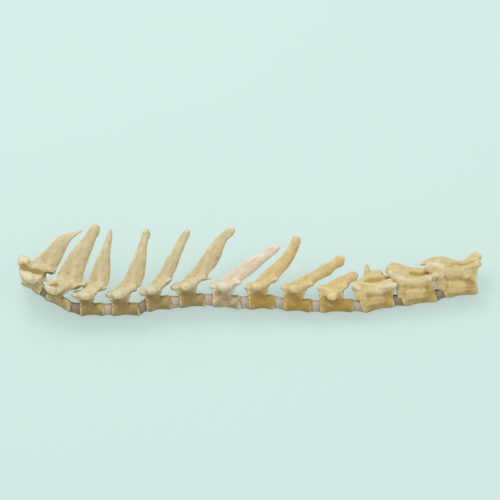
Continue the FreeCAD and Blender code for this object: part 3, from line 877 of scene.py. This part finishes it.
@dataclass(frozen=True)
class Vertebra:
    """One bone: its place in the chain, the line of its spinous process and its marks."""

    # Smoothing of the solid's surface, then how often, how widely and how fully creases are filled
    SMOOTH_ROUNDS = 3
    CREASE_FILL = (5, 24, 0.8)

    # How widely edges and hollows are looked for, and the depths in mm at which they are full
    EDGE_ROUNDS = 6
    HOLLOW_ROUNDS = 60
    EDGE_DEPTH = 0.10
    HOLLOW_DEPTH = 0.9
    POROUS_DEPTH = 0.8

    # How far round a vertex its porousness and a mark's push are evened out
    POROUS_ROUNDS = 4
    PUSH_ROUNDS = 3

    # The spinous process, in mm: the height over which it takes over from the arch, its half
    # thickness and that one's fade, and the farthest share across it that counts
    BLADE_START = 5.0
    BLADE_HALF = 3.2
    BLADE_FADE = 1.2
    BLADE_LIMIT = 1.5

    # Its darker rear edge, partly the bone's tone and partly painted shade on the side turned from
    # the light: how fast it darkens across the process, from where, and how dark
    REAR_SLOPE = 0.8
    REAR_START = 0.1
    REAR_STAIN_AND_SHADE = 0.5

    # Height above which the fibres turn from the body's run to the spinous process's, and the
    # height that the turn takes
    FIBRE_START = 5.0
    FIBRE_TURN = 9.0

    # The body's darker sides, partly the bone's ochre tone and partly painted shade under the
    # transverse processes, in mm: their top and its soft edge, how far out they reach and that
    # edge, and the paler rims at the ends
    BODY_TOP = 4.2
    BODY_FADE = 4.0
    BODY_HALF = 9.0
    BODY_SIDE_FADE = 2.5
    RIM_LENGTH = 1.5
    RIM_PALE = 0.6

    # Slow change of that tone: its mean and swing, and its waves along and up, in radians a mm
    TONE_MEAN = 0.82
    TONE_SWING = 0.18
    TONE_ALONG = 0.55
    TONE_UP = 0.8

    # Unevenness of the surface: how fine and how high, in mm, and the noise's fall of height
    # and step in size from one octave to the next, and its octaves
    ROUGH_SCALE = 0.20
    ROUGH_HEIGHT = 0.30
    ROUGH_NOISE = (0.8, 2.1, 4)

    node: str
    finish: BoneFinish
    link: Link
    blade: tuple[Spot, ...]
    wing: Spot | None = None
    body_stain_and_shade: float = 1.0
    swells: tuple[Swell, ...] = ()
    marks: tuple[Mark, ...] = ()

    def clay(self, place: Place) -> Clay:
        """Copy of the solid with its shoulders and swells, smoothed.

        Args:
            place: The bone's frame.

        Returns:
            The clay, before its marks.
        """
        shoulders = Shoulder().swells(self.blade[0], self.wing) if self.wing else ()
        clay = Clay(self.node, place, BONE_VOXEL, shoulders + self.swells)
        clay.smooth(self.SMOOTH_ROUNDS)
        clay.fill_creases(*self.CREASE_FILL)
        return clay

    def blade_place(self, points: np.ndarray) -> tuple[np.ndarray, ...]:
        """Place of each point along and across the spinous process.

        Args:
            points: Points in the bone's own frame.

        Returns:
            Distance along the process, signed share across it with the head end
            negative, the same in mm, and a weight that is one on the process.
        """
        stations = np.array(self.blade, float)
        best = np.full(len(points), FAR)
        along = np.zeros(len(points))
        across = np.zeros(len(points))
        sideways = np.zeros(len(points))
        travelled = 0.0
        for start, end in zip(stations[:-1], stations[1:]):
            run = end[:2] - start[:2]
            length = np.linalg.norm(run)
            offset = points[:, :2] - start[:2]
            share = np.clip(offset @ run / (length * length), 0.0, 1.0)
            away = offset - share[:, None] * run
            gap = np.linalg.norm(away, axis=1)
            side = np.sign(away[:, 0] * run[1] - away[:, 1] * run[0])
            width = start[2] + (end[2] - start[2]) * share
            closer = gap < best
            best[closer] = gap[closer]
            along[closer] = (travelled + share * length)[closer]
            across[closer] = (side * gap / (width * 0.5))[closer]
            sideways[closer] = (side * gap)[closer]
            travelled += length
        weight = np.clip((points[:, 1] - stations[0, 1]) / self.BLADE_START, 0.0, 1.0)
        weight *= np.clip((self.BLADE_HALF - np.abs(points[:, 2])) / self.BLADE_FADE, 0.0, 1.0)
        return along, np.clip(across, -self.BLADE_LIMIT, self.BLADE_LIMIT), sideways, weight

    def sculpt(self, place: Place) -> bpy.types.Mesh:
        """Shape the bone's surface and store its masks.

        Args:
            place: The bone's frame.

        Returns:
            The finished mesh.
        """
        clay = self.clay(place)
        stain_and_shade = np.zeros(clay.count)
        light = np.zeros(clay.count)
        # Marks paint shade into their grooves and hollows and highlights onto their ridges
        for mark in self.marks:
            weight = clay.nearness(mark)
            push = mark.form.value * mark.depth * weight
            clay.points += clay.averaged(clay.normals(), self.PUSH_ROUNDS) * push[:, None]
            stain_and_shade = np.maximum(stain_and_shade, weight * mark.stain_and_shade)
            light = np.maximum(light, weight * mark.pale)
        self.roughen(clay)
        along, across, sideways, weight = self.blade_place(clay.points)
        fine = clay.hollowness(self.EDGE_ROUNDS)
        wide = clay.hollowness(self.HOLLOW_ROUNDS)
        # Wide hollows, darkened in the material: partly stain, partly painted shade
        clay.write_mask("hollow", wide / self.HOLLOW_DEPTH)
        clay.write_mask("edge", -fine / self.EDGE_DEPTH)
        # Rear side of the spinous process darkened: partly the bone's tone, partly painted shade
        behind = np.clip(across * self.REAR_SLOPE + self.REAR_START, 0.0, 1.0) * weight
        stain_and_shade = np.maximum(stain_and_shade, behind * self.REAR_STAIN_AND_SHADE)
        clay.write_mask("stain_and_shade", np.maximum(stain_and_shade, self.body_tone(clay.points)))
        # Painted highlights along the ridges of the marks
        clay.write_mask("light", light)
        even = clay.averaged(wide[:, None], self.POROUS_ROUNDS)[:, 0]
        clay.write_mask("porous", even / self.POROUS_DEPTH)
        fibre = np.stack([along, sideways, clay.points[:, 2]], axis=1)
        share = np.clip((clay.points[:, 1] - self.FIBRE_START) / self.FIBRE_TURN, 0.0, 1.0)[:, None]
        clay.write_vector("grain", fibre * share + clay.points * (1.0 - share))
        clay.write_points()
        return clay.mesh

    def body_tone(self, points: np.ndarray) -> np.ndarray:
        """Darker sides of the body, partly its ochre tone and partly painted shade under the transverse
        processes, with pale rims at both ends.

        Args:
            points: Points in the bone's own frame.

        Returns:
            One on the body's sides, nothing on the arch and the processes.
        """
        x, y, z = points.T
        under = np.clip((self.BODY_TOP + self.BODY_FADE - y) / self.BODY_FADE, 0.0, 1.0)
        start = self.link.length * 3.0
        wave = np.sin(x * self.TONE_ALONG + start) * np.sin(y * self.TONE_UP + 1.0)
        under *= self.TONE_MEAN + self.TONE_SWING * wave
        inward = np.clip((self.BODY_HALF - np.abs(z)) / self.BODY_SIDE_FADE, 0.0, 1.0)
        rim = np.clip(1.0 - np.minimum(x, self.link.length - x) / self.RIM_LENGTH, 0.0, 1.0)
        return under * inward * (1.0 - self.RIM_PALE * rim) * self.body_stain_and_shade

    def roughen(self, clay: Clay) -> None:
        """Give the surface the slight unevenness of real bone.

        Args:
            clay: The bone being shaped.
        """
        seed = Vector((float(len(self.node)), self.link.length, self.link.turn))
        push = np.array([
            noise.fractal(Vector(point) * self.ROUGH_SCALE + seed, *self.ROUGH_NOISE)
            for point in clay.points
        ])
        clay.points += clay.normals() * (push * self.ROUGH_HEIGHT)[:, None]

    def build(self, place: Place, material: bpy.types.Material) -> None:
        """Make the bone and let it stand for its solid.

        Args:
            place: The bone's frame.
            material: Its finish.
        """
        name = "bone_" + self.node.split("_")[1]
        stand_for(self.node, self.sculpt(place), name, material)


@dataclass(frozen=True)
class Spacer:
    """Soft disc between two bodies: its middle in the column's plane, in mm, and its heading."""

    node: str
    middle: tuple[float, float]
    heading: float
    smooth_rounds: int = 3
    grain_run: Spot = (1.0, 0.35, 0.35)
    streak_shift: float = 0.15
    streak_fade: float = 1.6
    edge_start: float = 0.80
    edge_run: float = 0.2

    @classmethod
    def between(cls, ahead: Vertebra, behind: Vertebra, place: Place, plane: ColumnPlane) -> "Spacer":
        """Spacer in front of a bone.

        Args:
            ahead: The bone on its head side.
            behind: The bone on its tail side.
            place: Frame of the bone behind.
            plane: The column's plane.

        Returns:
            The spacer, with its middle from its solid.
        """
        node = "disc_" + ahead.node.split("_")[1] + "_" + behind.node.split("_")[1]
        low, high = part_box(node)
        offset = (low + high) * 0.5 - plane.origin
        middle = (offset.dot(plane.right) / MM, offset.dot(plane.up) / MM)
        facing = Vector(place[1][0])
        heading = math.degrees(math.atan2(facing.dot(plane.up), facing.dot(plane.right)))
        return cls(node, middle, heading)

    def build(self, plane: ColumnPlane, material: bpy.types.Material) -> None:
        """Make the spacer and let it stand for its solid.

        Args:
            plane: The column's plane.
            material: Its finish.
        """
        ahead, dorsal = plane.direction(self.heading), plane.direction(self.heading + 90.0)
        axes = np.array([ahead, dorsal, plane.out], float)
        clay = Clay(self.node, (plane.point(*self.middle), axes), SPACER_VOXEL)
        clay.smooth(self.smooth_rounds)
        x, y, z = clay.points.T
        half = (x.max() - x.min()) * 0.5
        centre = (x.max() + x.min()) * 0.5
        high = (y.max() - y.min()) * 0.5
        low = (y.max() + y.min()) * 0.5
        off_middle = np.abs((x - centre) / half + self.streak_shift)
        clay.write_mask("middle", 1.0 - off_middle * self.streak_fade)
        clay.write_mask("edge", (np.abs((y - low) / high) - self.edge_start) / self.edge_run)
        clay.write_vector("grain", clay.points * np.array(self.grain_run))
        clay.write_points()
        stand_for(self.node, clay.mesh, "soft_" + self.node, material)


@dataclass(frozen=True)
class WireFinish:
    """Plain drawn steel wire, in two greys."""

    name: str = "drawn_steel"
    bright: Colour = (0.62, 0.62, 0.63)
    dull: Colour = (0.50, 0.50, 0.52)

    def material(self, effects: EffectLibrary) -> bpy.types.Material:
        """Build the material.

        Args:
            effects: The shared shader groups.

        Returns:
            The material.
        """
        result, nodes, shader = start_material(self.name)
        shader.inputs["Metallic"].default_value = 1.0
        position = nodes.add("ShaderNodeTexCoord").outputs["Object"]
        scaled = nodes.add("ShaderNodeVectorMath", operation="SCALE")
        scaled.inputs["Scale"].default_value = 1.0 / MM
        nodes.join(position, scaled.inputs[0])
        mottle = effects.place(nodes, Effect.MOTTLE, scaled.outputs[0], 4.0)
        colour = nodes.mix(mottle.outputs["Patch"], srgb(*self.bright), srgb(*self.dull))
        nodes.join(colour, shader.inputs["Base Color"])
        rough = nodes.ramp(mottle.outputs["Patch"], 0.0, 1.0, 0.3, 0.45)
        nodes.join(rough, shader.inputs["Roughness"])
        return result


@dataclass(frozen=True)
class Wire:
    """Core wire, sealed inside the column, which keeps its solid."""

    node: str = "core_wire"

    def build(self, material: bpy.types.Material) -> None:
        """Give the solid its finish.

        Args:
            material: Its finish.
        """
        mesh = frame["nodes"][self.node].data
        mesh.materials.clear()
        mesh.materials.append(material)
        LOG.info("%s: %d vertices", self.node, len(mesh.vertices))


@dataclass(frozen=True)
class Lamp:
    """Square soft lamp: its place from the middle of the picture, side in mm, and watts."""

    name: str
    offset: Spot
    size: float
    power: float


@dataclass(frozen=True)
class Studio:
    """Table, lamps and camera, in mm from the column's first face in its plane."""

    centre: tuple[float, float] = (144.9, 18.2)
    frame_width: float = 320.0
    camera_away: float = 1500.0
    camera_reach: float = 10000.0
    table: Colour = (0.835, 0.920, 0.902)
    table_size: float = 3000.0
    glow_share: float = 0.58
    soft_light: float = 0.62
    lamps: tuple[Lamp, ...] = (
        Lamp("key", (-330.0, 760.0, 620.0), 520.0, 4.4),
        Lamp("fill", (420.0, 260.0, 950.0), 800.0, 1.4),
    )

    def build(self, plane: ColumnPlane) -> None:
        """Set the scene round the column.

        Args:
            plane: The column's plane.
        """
        self.camera(plane)
        for lamp in self.lamps:
            self.light(plane, lamp)
        self.floor()
        self.world()

    def camera(self, plane: ColumnPlane) -> None:
        """Look square at the column's left side.

        Args:
            plane: The column's plane.
        """
        data = bpy.data.cameras.new("camera")
        data.type = "ORTHO"
        data.ortho_scale = self.frame_width * MM
        data.clip_end = self.camera_reach * MM
        eye = bpy.data.objects.new("camera", data)
        bpy.context.scene.collection.objects.link(eye)
        turn = Matrix((plane.right, plane.up, plane.out)).transposed().to_4x4()
        eye.matrix_world = Matrix.Translation(plane.point(*self.centre, self.camera_away)) @ turn
        bpy.context.scene.camera = eye

    def light(self, plane: ColumnPlane, lamp: Lamp) -> None:
        """Add a lamp that looks at the column.

        Args:
            plane: The column's plane.
            lamp: The lamp.
        """
        data = bpy.data.lights.new(lamp.name, "AREA")
        data.shape = "SQUARE"
        data.size = lamp.size * MM
        data.energy = lamp.power
        across, upward = self.centre
        target = plane.point(across, upward)
        place = plane.point(across + lamp.offset[0], upward + lamp.offset[1], lamp.offset[2])
        light = bpy.data.objects.new(lamp.name, data)
        bpy.context.scene.collection.objects.link(light)
        aim = (target - place).to_track_quat("-Z", "Y").to_matrix().to_4x4()
        light.matrix_world = Matrix.Translation(place) @ aim

    def floor(self) -> None:
        """Plain pale table top under the column."""
        shape = bmesh.new()
        bmesh.ops.create_grid(shape, x_segments=1, y_segments=1, size=self.table_size * MM)
        mesh = bpy.data.meshes.new("table")
        shape.to_mesh(mesh)
        shape.free()
        mesh.materials.append(self.table_finish())
        table = bpy.data.objects.new("table", mesh)
        bpy.context.scene.collection.objects.link(table)

    def table_finish(self) -> bpy.types.Material:
        """Build the table's material, which takes shadows and glows a little to the camera.

        Returns:
            The material.
        """
        material = bpy.data.materials.new("pale_table")
        material.use_nodes = True
        nodes = Nodes(material.node_tree)
        shader = material.node_tree.nodes["Principled BSDF"]
        shader.inputs["Base Color"].default_value = srgb(*self.table)
        shader.inputs["Roughness"].default_value = 0.9
        shader.inputs["Specular IOR Level"].default_value = 0.0
        glow = nodes.add("ShaderNodeEmission")
        glow.inputs["Color"].default_value = srgb(*self.table)
        rays = nodes.add("ShaderNodeLightPath")
        share = nodes.maths("MULTIPLY", rays.outputs["Is Camera Ray"], self.glow_share)
        both = nodes.add("ShaderNodeMixShader")
        nodes.join(share, both.inputs["Fac"])
        nodes.join(shader.outputs["BSDF"], both.inputs[1])
        nodes.join(glow.outputs["Emission"], both.inputs[2])
        nodes.join(both.outputs["Shader"], material.node_tree.nodes["Material Output"].inputs["Surface"])
        return material

    def world(self) -> None:
        """Even soft light from all round, which the camera sees in the table's colour."""
        world = bpy.data.worlds.new("soft_light")
        world.use_nodes = True
        back = world.node_tree.nodes["Background"]
        back.inputs["Color"].default_value = (1.0, 1.0, 1.0, 1.0)
        back.inputs["Strength"].default_value = self.soft_light
        nodes = Nodes(world.node_tree)
        seen = nodes.add("ShaderNodeBackground")
        seen.inputs["Color"].default_value = srgb(*self.table)
        rays = nodes.add("ShaderNodeLightPath")
        both = nodes.add("ShaderNodeMixShader")
        nodes.join(rays.outputs["Is Camera Ray"], both.inputs["Fac"])
        nodes.join(back.outputs["Background"], both.inputs[1])
        nodes.join(seen.outputs["Background"], both.inputs[2])
        nodes.join(both.outputs["Shader"], world.node_tree.nodes["World Output"].inputs["Surface"])
        bpy.context.scene.world = world


# Finishes: each bone's pale, middle, stained-and-shaded and pitted tones, then how stained it is
OLIVE = BoneFinish("bone_olive", "bone_grey", (0.90, 0.86, 0.73), (0.81, 0.75, 0.57), (0.63, 0.54, 0.33),
                   (0.40, 0.31, 0.17), 0.18)
WHITE = BoneFinish("bone_pale", "bone_white", (0.92, 0.88, 0.80), (0.86, 0.79, 0.67), (0.66, 0.58, 0.41),
                   (0.45, 0.36, 0.24), 0.05)
GOLD = BoneFinish("bone_golden", "bone_yellow", (0.90, 0.83, 0.66), (0.84, 0.75, 0.52), (0.68, 0.56, 0.28),
                  (0.42, 0.31, 0.13), 0.18)
CREAM = BoneFinish("bone_cream", "bone_yellow", (0.91, 0.86, 0.71), (0.84, 0.76, 0.54), (0.70, 0.59, 0.33),
                   (0.42, 0.32, 0.16), 0.20)
CLEAR = SpacerFinish("spacer_silicone", (0.68, 0.61, 0.52), (0.79, 0.73, 0.66), (0.38, 0.30, 0.23))
# Darker copy of the spacer's finish for the discs deep between the bones: partly their own darker tone,
# partly painted shade
DARKER_AND_SHADED = SpacerFinish("spacer_darker_and_shaded", (0.53, 0.45, 0.36), (0.62, 0.55, 0.46), (0.28, 0.20, 0.13))
DARKER_AND_SHADED_SPACERS = ("disc_t01_t02", "disc_t02_t03", "disc_t04_t05", "disc_t11_t12", "disc_t12_t13")

# Bones from the head end. A blade's stations are its place along and up, and its width, in mm.
# A wing is the tip of the transverse process that a shoulder runs out to.
BONES = (
    Vertebra(
        "vertebra_t01", OLIVE,
        link=Link(gap=0.0, rise=0.0, turn=0.0, length=14.0),
        blade=((7.4, 15.5, 15.6), (7.8, 30.0, 10.4), (15.2, 46.6, 1.2)),
        wing=(2.6, 1.5, 17.0),
        body_stain_and_shade=0.35,
        swells=(
            # Lobe of the cranial articular process
            Swell(((-9.0, 9.4, 5.0, 1.5), (-4.8, 11.8, 5.0, 1.5),
                   (-4.6, 8.4, 6.0, 1.8), (-7.4, 6.8, 6.0, 1.5))),
            # Broad transverse process
            Swell(((-6.4, 6.2, 8.0, 1.5), (-2.4, 1.8, 9.0, 1.8), (2.2, -1.6, 8.0, 1.6),
                   (3.0, 4.0, 8.0, 1.8), (-3.4, 8.0, 6.0, 1.6))),
            # Caudal articular process
            Swell(((8.0, 8.0, 4.6, 1.4), (12.0, 8.4, 4.2, 1.2),
                   (9.4, 3.4, 5.4, 1.4), (11.2, 5.4, 4.8, 1.1))),
        ),
        marks=(
            # Groove along the arch, between the articular processes, with shade painted into it
            Mark(Form.HOLLOW, ((-5.2, 6.0, 8.6), (2.6, 7.4, 8.6), (9.6, 9.2, 5.0), (15.0, 12.0, 3.0)),
                 reach=4.0, depth=1.7, stain_and_shade=1.3),
            # Rim of the cranial lobe, with a painted highlight
            Mark(Form.RIDGE, ((-8.0, 9.4, 7.0), (-4.4, 11.4, 7.0)),
                 reach=2.6, depth=0.3, pale=0.7),
            # Ridge of the transverse process, with a painted highlight
            Mark(Form.RIDGE, ((-3.0, 1.2, 11.0), (3.0, 2.0, 17.0), (8.4, 4.6, 8.0)),
                 reach=3.4, depth=0.3, pale=0.5),
        ),
    ),
    Vertebra(
        "vertebra_t02", OLIVE,
        link=Link(gap=3.9, rise=0.0, turn=4.0, length=17.2),
        blade=((7.9, 17.0, 17.0), (6.6, 33.0, 12.3), (6.7, 54.2, 4.6)),
        wing=(0.8, 3.2, 16.0),
        body_stain_and_shade=0.7,
        marks=(
            # Pit over the transverse process, with shade painted into it
            Mark(Form.HOLLOW, ((-0.6, 6.0, 13.0), (2.4, 8.0, 10.0)),
                 reach=3.2, depth=0.8, stain_and_shade=0.6),
            # Ridge of the cranial articular process, with a painted highlight
            Mark(Form.RIDGE, ((-4.4, 5.4, 13.0), (-2.4, 8.8, 8.0), (2.0, 11.0, 5.0)),
                 reach=2.0, depth=0.5, pale=0.6),
            # Groove up the rear edge of the arch, with shade painted into it
            Mark(Form.HOLLOW, ((11.5, 7.8, 4.0), (18.2, 17.0, 3.0)),
                 reach=1.6, depth=0.5, stain_and_shade=0.9),
        ),
    ),
    Vertebra(
        "vertebra_t03", OLIVE,
        link=Link(gap=5.9, rise=1.5, turn=28.5, length=15.6),
        blade=((11.6, 17.8, 14.0), (14.7, 30.0, 9.8), (19.5, 51.0, 2.4)),
        wing=(3.4, 8.6, 15.0),
        # Shadow painted into the notch in front of the arch
        marks=(notch((-5.6, 9.2, 4.6), stain_and_shade=0.6),),
    ),
    Vertebra(
        "vertebra_t04", OLIVE,
        link=Link(gap=4.8, rise=0.2, turn=1.1, length=17.9),
        blade=((12.3, 15.8, 13.0), (17.6, 28.5, 9.8), (23.5, 51.3, 3.2)),
        wing=(4.2, 9.0, 14.6),
        # Shadow painted into the notch in front of the arch
        marks=(notch((-4.0, 9.2, 4.4), stain_and_shade=1.3),),
    ),
    Vertebra(
        "vertebra_t05", OLIVE,
        link=Link(gap=4.2, rise=2.6, turn=5.0, length=16.3),
        blade=((12.0, 14.4, 10.6), (19.4, 26.0, 8.4), (32.0, 45.2, 3.4)),
        wing=(4.6, 9.0, 14.0),
        # Shadow painted into the notch in front of the arch
        marks=(notch((-3.8, 8.0, 4.4), stain_and_shade=0.4),),
    ),
    Vertebra(
        "vertebra_t06", OLIVE,
        link=Link(gap=5.1, rise=-0.4, turn=-0.7, length=16.3),
        blade=((14.6, 16.8, 12.6), (25.8, 31.2, 10.0), (39.4, 43.6, 3.2)),
        wing=(5.4, 9.6, 13.8),
        # Shadow painted into the notch in front of the arch
        marks=(notch((-5.0, 9.2, 4.4), stain_and_shade=1.2),),
    ),
    Vertebra(
        "vertebra_t07", WHITE,
        link=Link(gap=4.9, rise=-0.7, turn=-10.1, length=18.0),
        blade=((11.6, 14.2, 11.6), (26.1, 27.7, 8.5), (40.0, 38.3, 3.0)),
        wing=(6.2, 9.6, 13.6),
    ),
    Vertebra(
        "vertebra_t08", GOLD,
        link=Link(gap=5.1, rise=0.5, turn=6.2, length=16.6),
        blade=((13.4, 15.8, 11.0), (22.0, 24.2, 8.6), (32.2, 42.0, 4.8)),
        wing=(6.0, 10.4, 13.0),
        # Shadow painted into the notch in front of the arch
        marks=(notch((-2.6, 9.2, 4.2), stain_and_shade=0.9),),
    ),
    Vertebra(
        "vertebra_t09", GOLD,
        link=Link(gap=6.1, rise=-1.1, turn=-5.1, length=17.6),
        blade=((12.8, 14.8, 10.6), (22.0, 21.4, 7.8), (36.0, 32.8, 3.8)),
        wing=(6.2, 10.2, 12.2),
        # Shadow painted into the notch in front of the arch
        marks=(notch((-3.2, 10.0, 4.2), stain_and_shade=0.7),),
    ),
    Vertebra(
        "vertebra_t10", GOLD,
        link=Link(gap=5.4, rise=0.2, turn=5.3, length=21.3),
        blade=((13.4, 13.8, 11.4), (20.0, 18.0, 6.2), (25.0, 18.9, 3.4)),
        wing=(8.4, 7.4, 8.4),
        swells=(
            # Knob of the transverse process
            Swell(((5.0, 11.6, 2.4, 1.8), (12.6, 11.4, 2.4, 1.8),
                   (8.6, 5.8, 8.6, 2.4), (4.6, 7.4, 5.4, 1.8))),
        ),
        marks=(
            # Ridge of the knob, with a painted highlight
            Mark(Form.RIDGE, ((6.0, 10.0, 5.0), (9.4, 7.0, 8.6), (13.0, 9.6, 4.4)),
                 reach=2.4, depth=0.3, pale=0.5),
            # Groove behind the knob, with shade painted into it
            Mark(Form.HOLLOW, ((15.6, 9.0, 5.0), (19.0, 8.4, 5.0)),
                 reach=2.4, depth=0.5, stain_and_shade=0.8),
        ),
    ),
    Vertebra(
        "vertebra_t11", CREAM,
        link=Link(gap=5.2, rise=-0.7, turn=9.8, length=21.4),
        blade=((0.0, 16.6, 5.0), (8.0, 17.6, 5.0), (16.0, 16.8, 4.0)),
        body_stain_and_shade=0.7,
        swells=(
            # Caudal side of the arch's foot
            Swell(((16.0, 8.4, 5.6, 2.0), (16.0, 2.6, 5.0, 1.6),
                   (21.8, 7.6, 6.6, 1.3), (20.4, 3.8, 5.6, 1.1))),
            # Front slope of the arch
            Swell(((1.4, 15.4, 1.4, 1.8), (7.0, 16.6, 1.4, 1.6),
                   (-1.4, 13.8, 5.6, 2.0), (5.0, 8.6, 6.4, 2.2))),
            # Rear slope of the arch
            Swell(((7.0, 16.6, 1.4, 1.6), (15.6, 18.0, 1.4, 1.8),
                   (5.0, 8.6, 6.4, 2.2), (14.0, 7.6, 6.8, 2.2))),
            # Front half of the body's side
            Swell(((-0.6, 11.8, 5.0, 1.8), (5.0, 8.6, 6.4, 2.2),
                   (1.6, 1.0, 5.2, 2.0), (6.0, 0.6, 5.2, 1.8))),
            # Rear half of the body's side
            Swell(((5.0, 8.6, 6.4, 2.2), (14.0, 7.6, 6.8, 2.2),
                   (6.0, 0.6, 5.2, 1.8), (15.0, 0.6, 5.0, 1.8))),
            # Accessory process
            Swell(((15.0, 9.4, 7.0, 2.2), (24.0, 9.4, 8.6, 1.7), (17.0, 14.0, 4.0, 1.8))),
        ),
        marks=(
            # Hollow along the body, with shade painted into it
            Mark(Form.HOLLOW, ((6.0, 5.6, 7.0), (15.0, 4.4, 7.0), (19.0, 4.2, 7.0)),
                 reach=3.2, depth=0.9, stain_and_shade=0.6),
            # Hollow above the accessory process, with shade painted into it
            Mark(Form.HOLLOW, ((6.0, 14.6, 4.0), (13.0, 14.4, 4.4), (19.0, 13.6, 4.0)),
                 reach=3.4, depth=1.2, stain_and_shade=0.8),
            # Rim of the cranial knob, with a painted highlight
            Mark(Form.RIDGE, ((-2.6, 15.0, 6.0), (0.6, 11.4, 7.4)),
                 reach=2.4, depth=0.5, pale=0.5),
            # Ridge of the accessory process, with a painted highlight
            Mark(Form.RIDGE, ((16.0, 9.2, 8.0), (24.0, 9.4, 9.4)),
                 reach=2.4, depth=0.3, pale=0.5),
        ),
    ),
    Vertebra(
        "vertebra_t12", CREAM,
        link=Link(gap=4.9, rise=-1.0, turn=-2.8, length=22.0),
        blade=((-7.6, 20.0, 4.0), (1.0, 20.0, 5.0), (11.0, 16.0, 4.0)),
        body_stain_and_shade=0.7,
        swells=(
            # Caudal side of the arch's foot
            Swell(((17.0, 9.6, 6.2, 2.0), (17.0, 3.0, 5.2, 1.6),
                   (22.2, 8.4, 6.8, 1.3), (21.2, 4.4, 5.8, 1.1))),
            # Accessory process
            Swell(((13.0, 11.8, 6.4, 2.0), (20.0, 12.2, 8.0, 1.9), (25.0, 12.4, 9.6, 1.6))),
            # Cranial end of the body's side
            Swell(((-1.8, 6.6, 5.6, 1.0), (-1.6, 2.4, 5.0, 1.0),
                   (2.0, 8.0, 6.0, 1.5), (2.0, 2.0, 5.6, 1.4))),
            # Slope below the mammillary process
            Swell(((-4.0, 21.6, 1.4, 1.8), (3.0, 20.4, 1.4, 1.8),
                   (-4.0, 17.6, 7.0, 2.2), (4.0, 11.0, 6.8, 2.6))),
            # Rear slope of the arch
            Swell(((2.0, 20.0, 1.4, 1.8), (15.6, 16.4, 1.4, 1.8),
                   (4.0, 11.0, 6.8, 2.6), (15.0, 10.0, 6.8, 2.4))),
            # Side of the body
            Swell(((4.0, 11.0, 6.8, 2.6), (15.0, 10.0, 6.8, 2.4),
                   (4.0, 0.6, 5.4, 2.0), (16.0, 0.6, 5.2, 1.8))),
        ),
        marks=(
            # Hollow above the accessory process, with shade painted into it
            Mark(Form.HOLLOW, ((9.0, 15.8, 5.4), (14.9, 14.6, 5.8), (19.0, 15.0, 5.0)),
                 reach=3.0, depth=0.8, stain_and_shade=0.9),
            # Hollow along the body, with shade painted into it
            Mark(Form.HOLLOW, ((4.0, 7.6, 7.6), (11.0, 6.6, 7.6), (17.0, 6.0, 7.0)),
                 reach=3.4, depth=0.8, stain_and_shade=0.5),
            # Edge of the mammillary process, with a painted highlight
            Mark(Form.RIDGE, ((-5.6, 19.0, 9.0), (-1.2, 15.2, 8.0), (3.0, 12.8, 8.0)),
                 reach=2.4, depth=0.4, pale=0.5),
        ),
    ),
    Vertebra(
        "vertebra_t13", CREAM,
        link=Link(gap=5.2, rise=0.2, turn=-0.7, length=21.6),
        blade=((-12.2, 20.0, 4.0), (7.0, 19.0, 5.0), (25.4, 20.0, 4.0)),
        body_stain_and_shade=0.6,
        swells=(
            # Slope below the mammillary process
            Swell(((-8.0, 21.2, 1.6, 1.8), (4.0, 21.8, 1.6, 1.8),
                   (-7.0, 18.4, 7.6, 2.2), (5.4, 14.0, 6.8, 2.4))),
            # Middle slope of the arch
            Swell(((4.0, 21.0, 1.6, 1.8), (13.0, 17.4, 1.6, 1.9),
                   (5.4, 14.0, 6.8, 2.4), (13.0, 13.2, 6.4, 2.2))),
            # Rear slope of the arch
            Swell(((13.0, 17.4, 1.6, 1.9), (24.0, 18.8, 1.4, 1.7),
                   (13.0, 13.2, 6.4, 2.2), (24.0, 15.6, 4.8, 1.6))),
            # Side of the body
            Swell(((5.4, 13.6, 6.8, 2.2), (19.0, 13.8, 5.4, 1.8),
                   (4.0, 1.0, 5.4, 2.0), (17.0, 1.0, 5.2, 1.8))),
            # Cranial end of the body's side
            Swell(((-3.2, 8.4, 6.0, 1.1), (-2.4, 3.6, 5.2, 1.1),
                   (1.4, 9.0, 6.0, 1.4), (1.4, 3.0, 5.6, 1.4))),
        ),
        marks=(
            # Hollow under the crest, with shade painted into it
            Mark(Form.HOLLOW, ((8.0, 17.4, 4.6), (15.0, 16.2, 4.6), (21.2, 17.0, 3.8)),
                 reach=2.6, depth=0.7, stain_and_shade=0.8),
            # Hollow along the body, with shade painted into it
            Mark(Form.HOLLOW, ((4.0, 8.6, 7.4), (12.0, 8.0, 7.4), (19.0, 5.0, 7.0)),
                 reach=3.6, depth=0.9, stain_and_shade=0.6),
            # Edge of the mammillary process, with a painted highlight
            Mark(Form.RIDGE, ((-8.6, 19.6, 9.0), (-3.0, 19.6, 8.6), (1.6, 17.4, 8.0)),
                 reach=2.6, depth=0.4, pale=0.5),
        ),
    ),
)


def main() -> None:
    """Build the whole column and the studio round it."""
    logging.basicConfig(level=logging.INFO, format="%(name)s: %(message)s")
    bpy.context.scene.view_settings.view_transform = "Standard"
    mounts = {mount["name"]: mount for mount in frame["record"]["mounts"]}
    plane = ColumnPlane(mounts)
    Studio().build(plane)
    chain = Chain(plane, [bone.link for bone in BONES])
    effects = EffectLibrary()
    finishes = {finish: finish.material(effects) for finish in (OLIVE, WHITE, GOLD, CREAM)}
    for bone, place in zip(BONES, chain.frames):
        bone.build(place, finishes[bone.finish])
    # The darker spacers carry partly their own tone, partly painted shade
    clear, darker_and_shaded = CLEAR.material(effects), DARKER_AND_SHADED.material(effects)
    for ahead, behind, place in zip(BONES, BONES[1:], chain.frames[1:]):
        spacer = Spacer.between(ahead, behind, place, plane)
        spacer.build(plane, darker_and_shaded if spacer.node in DARKER_AND_SHADED_SPACERS else clear)
    Wire().build(WireFinish().material(effects))


if __name__ == "__main__":
    main()
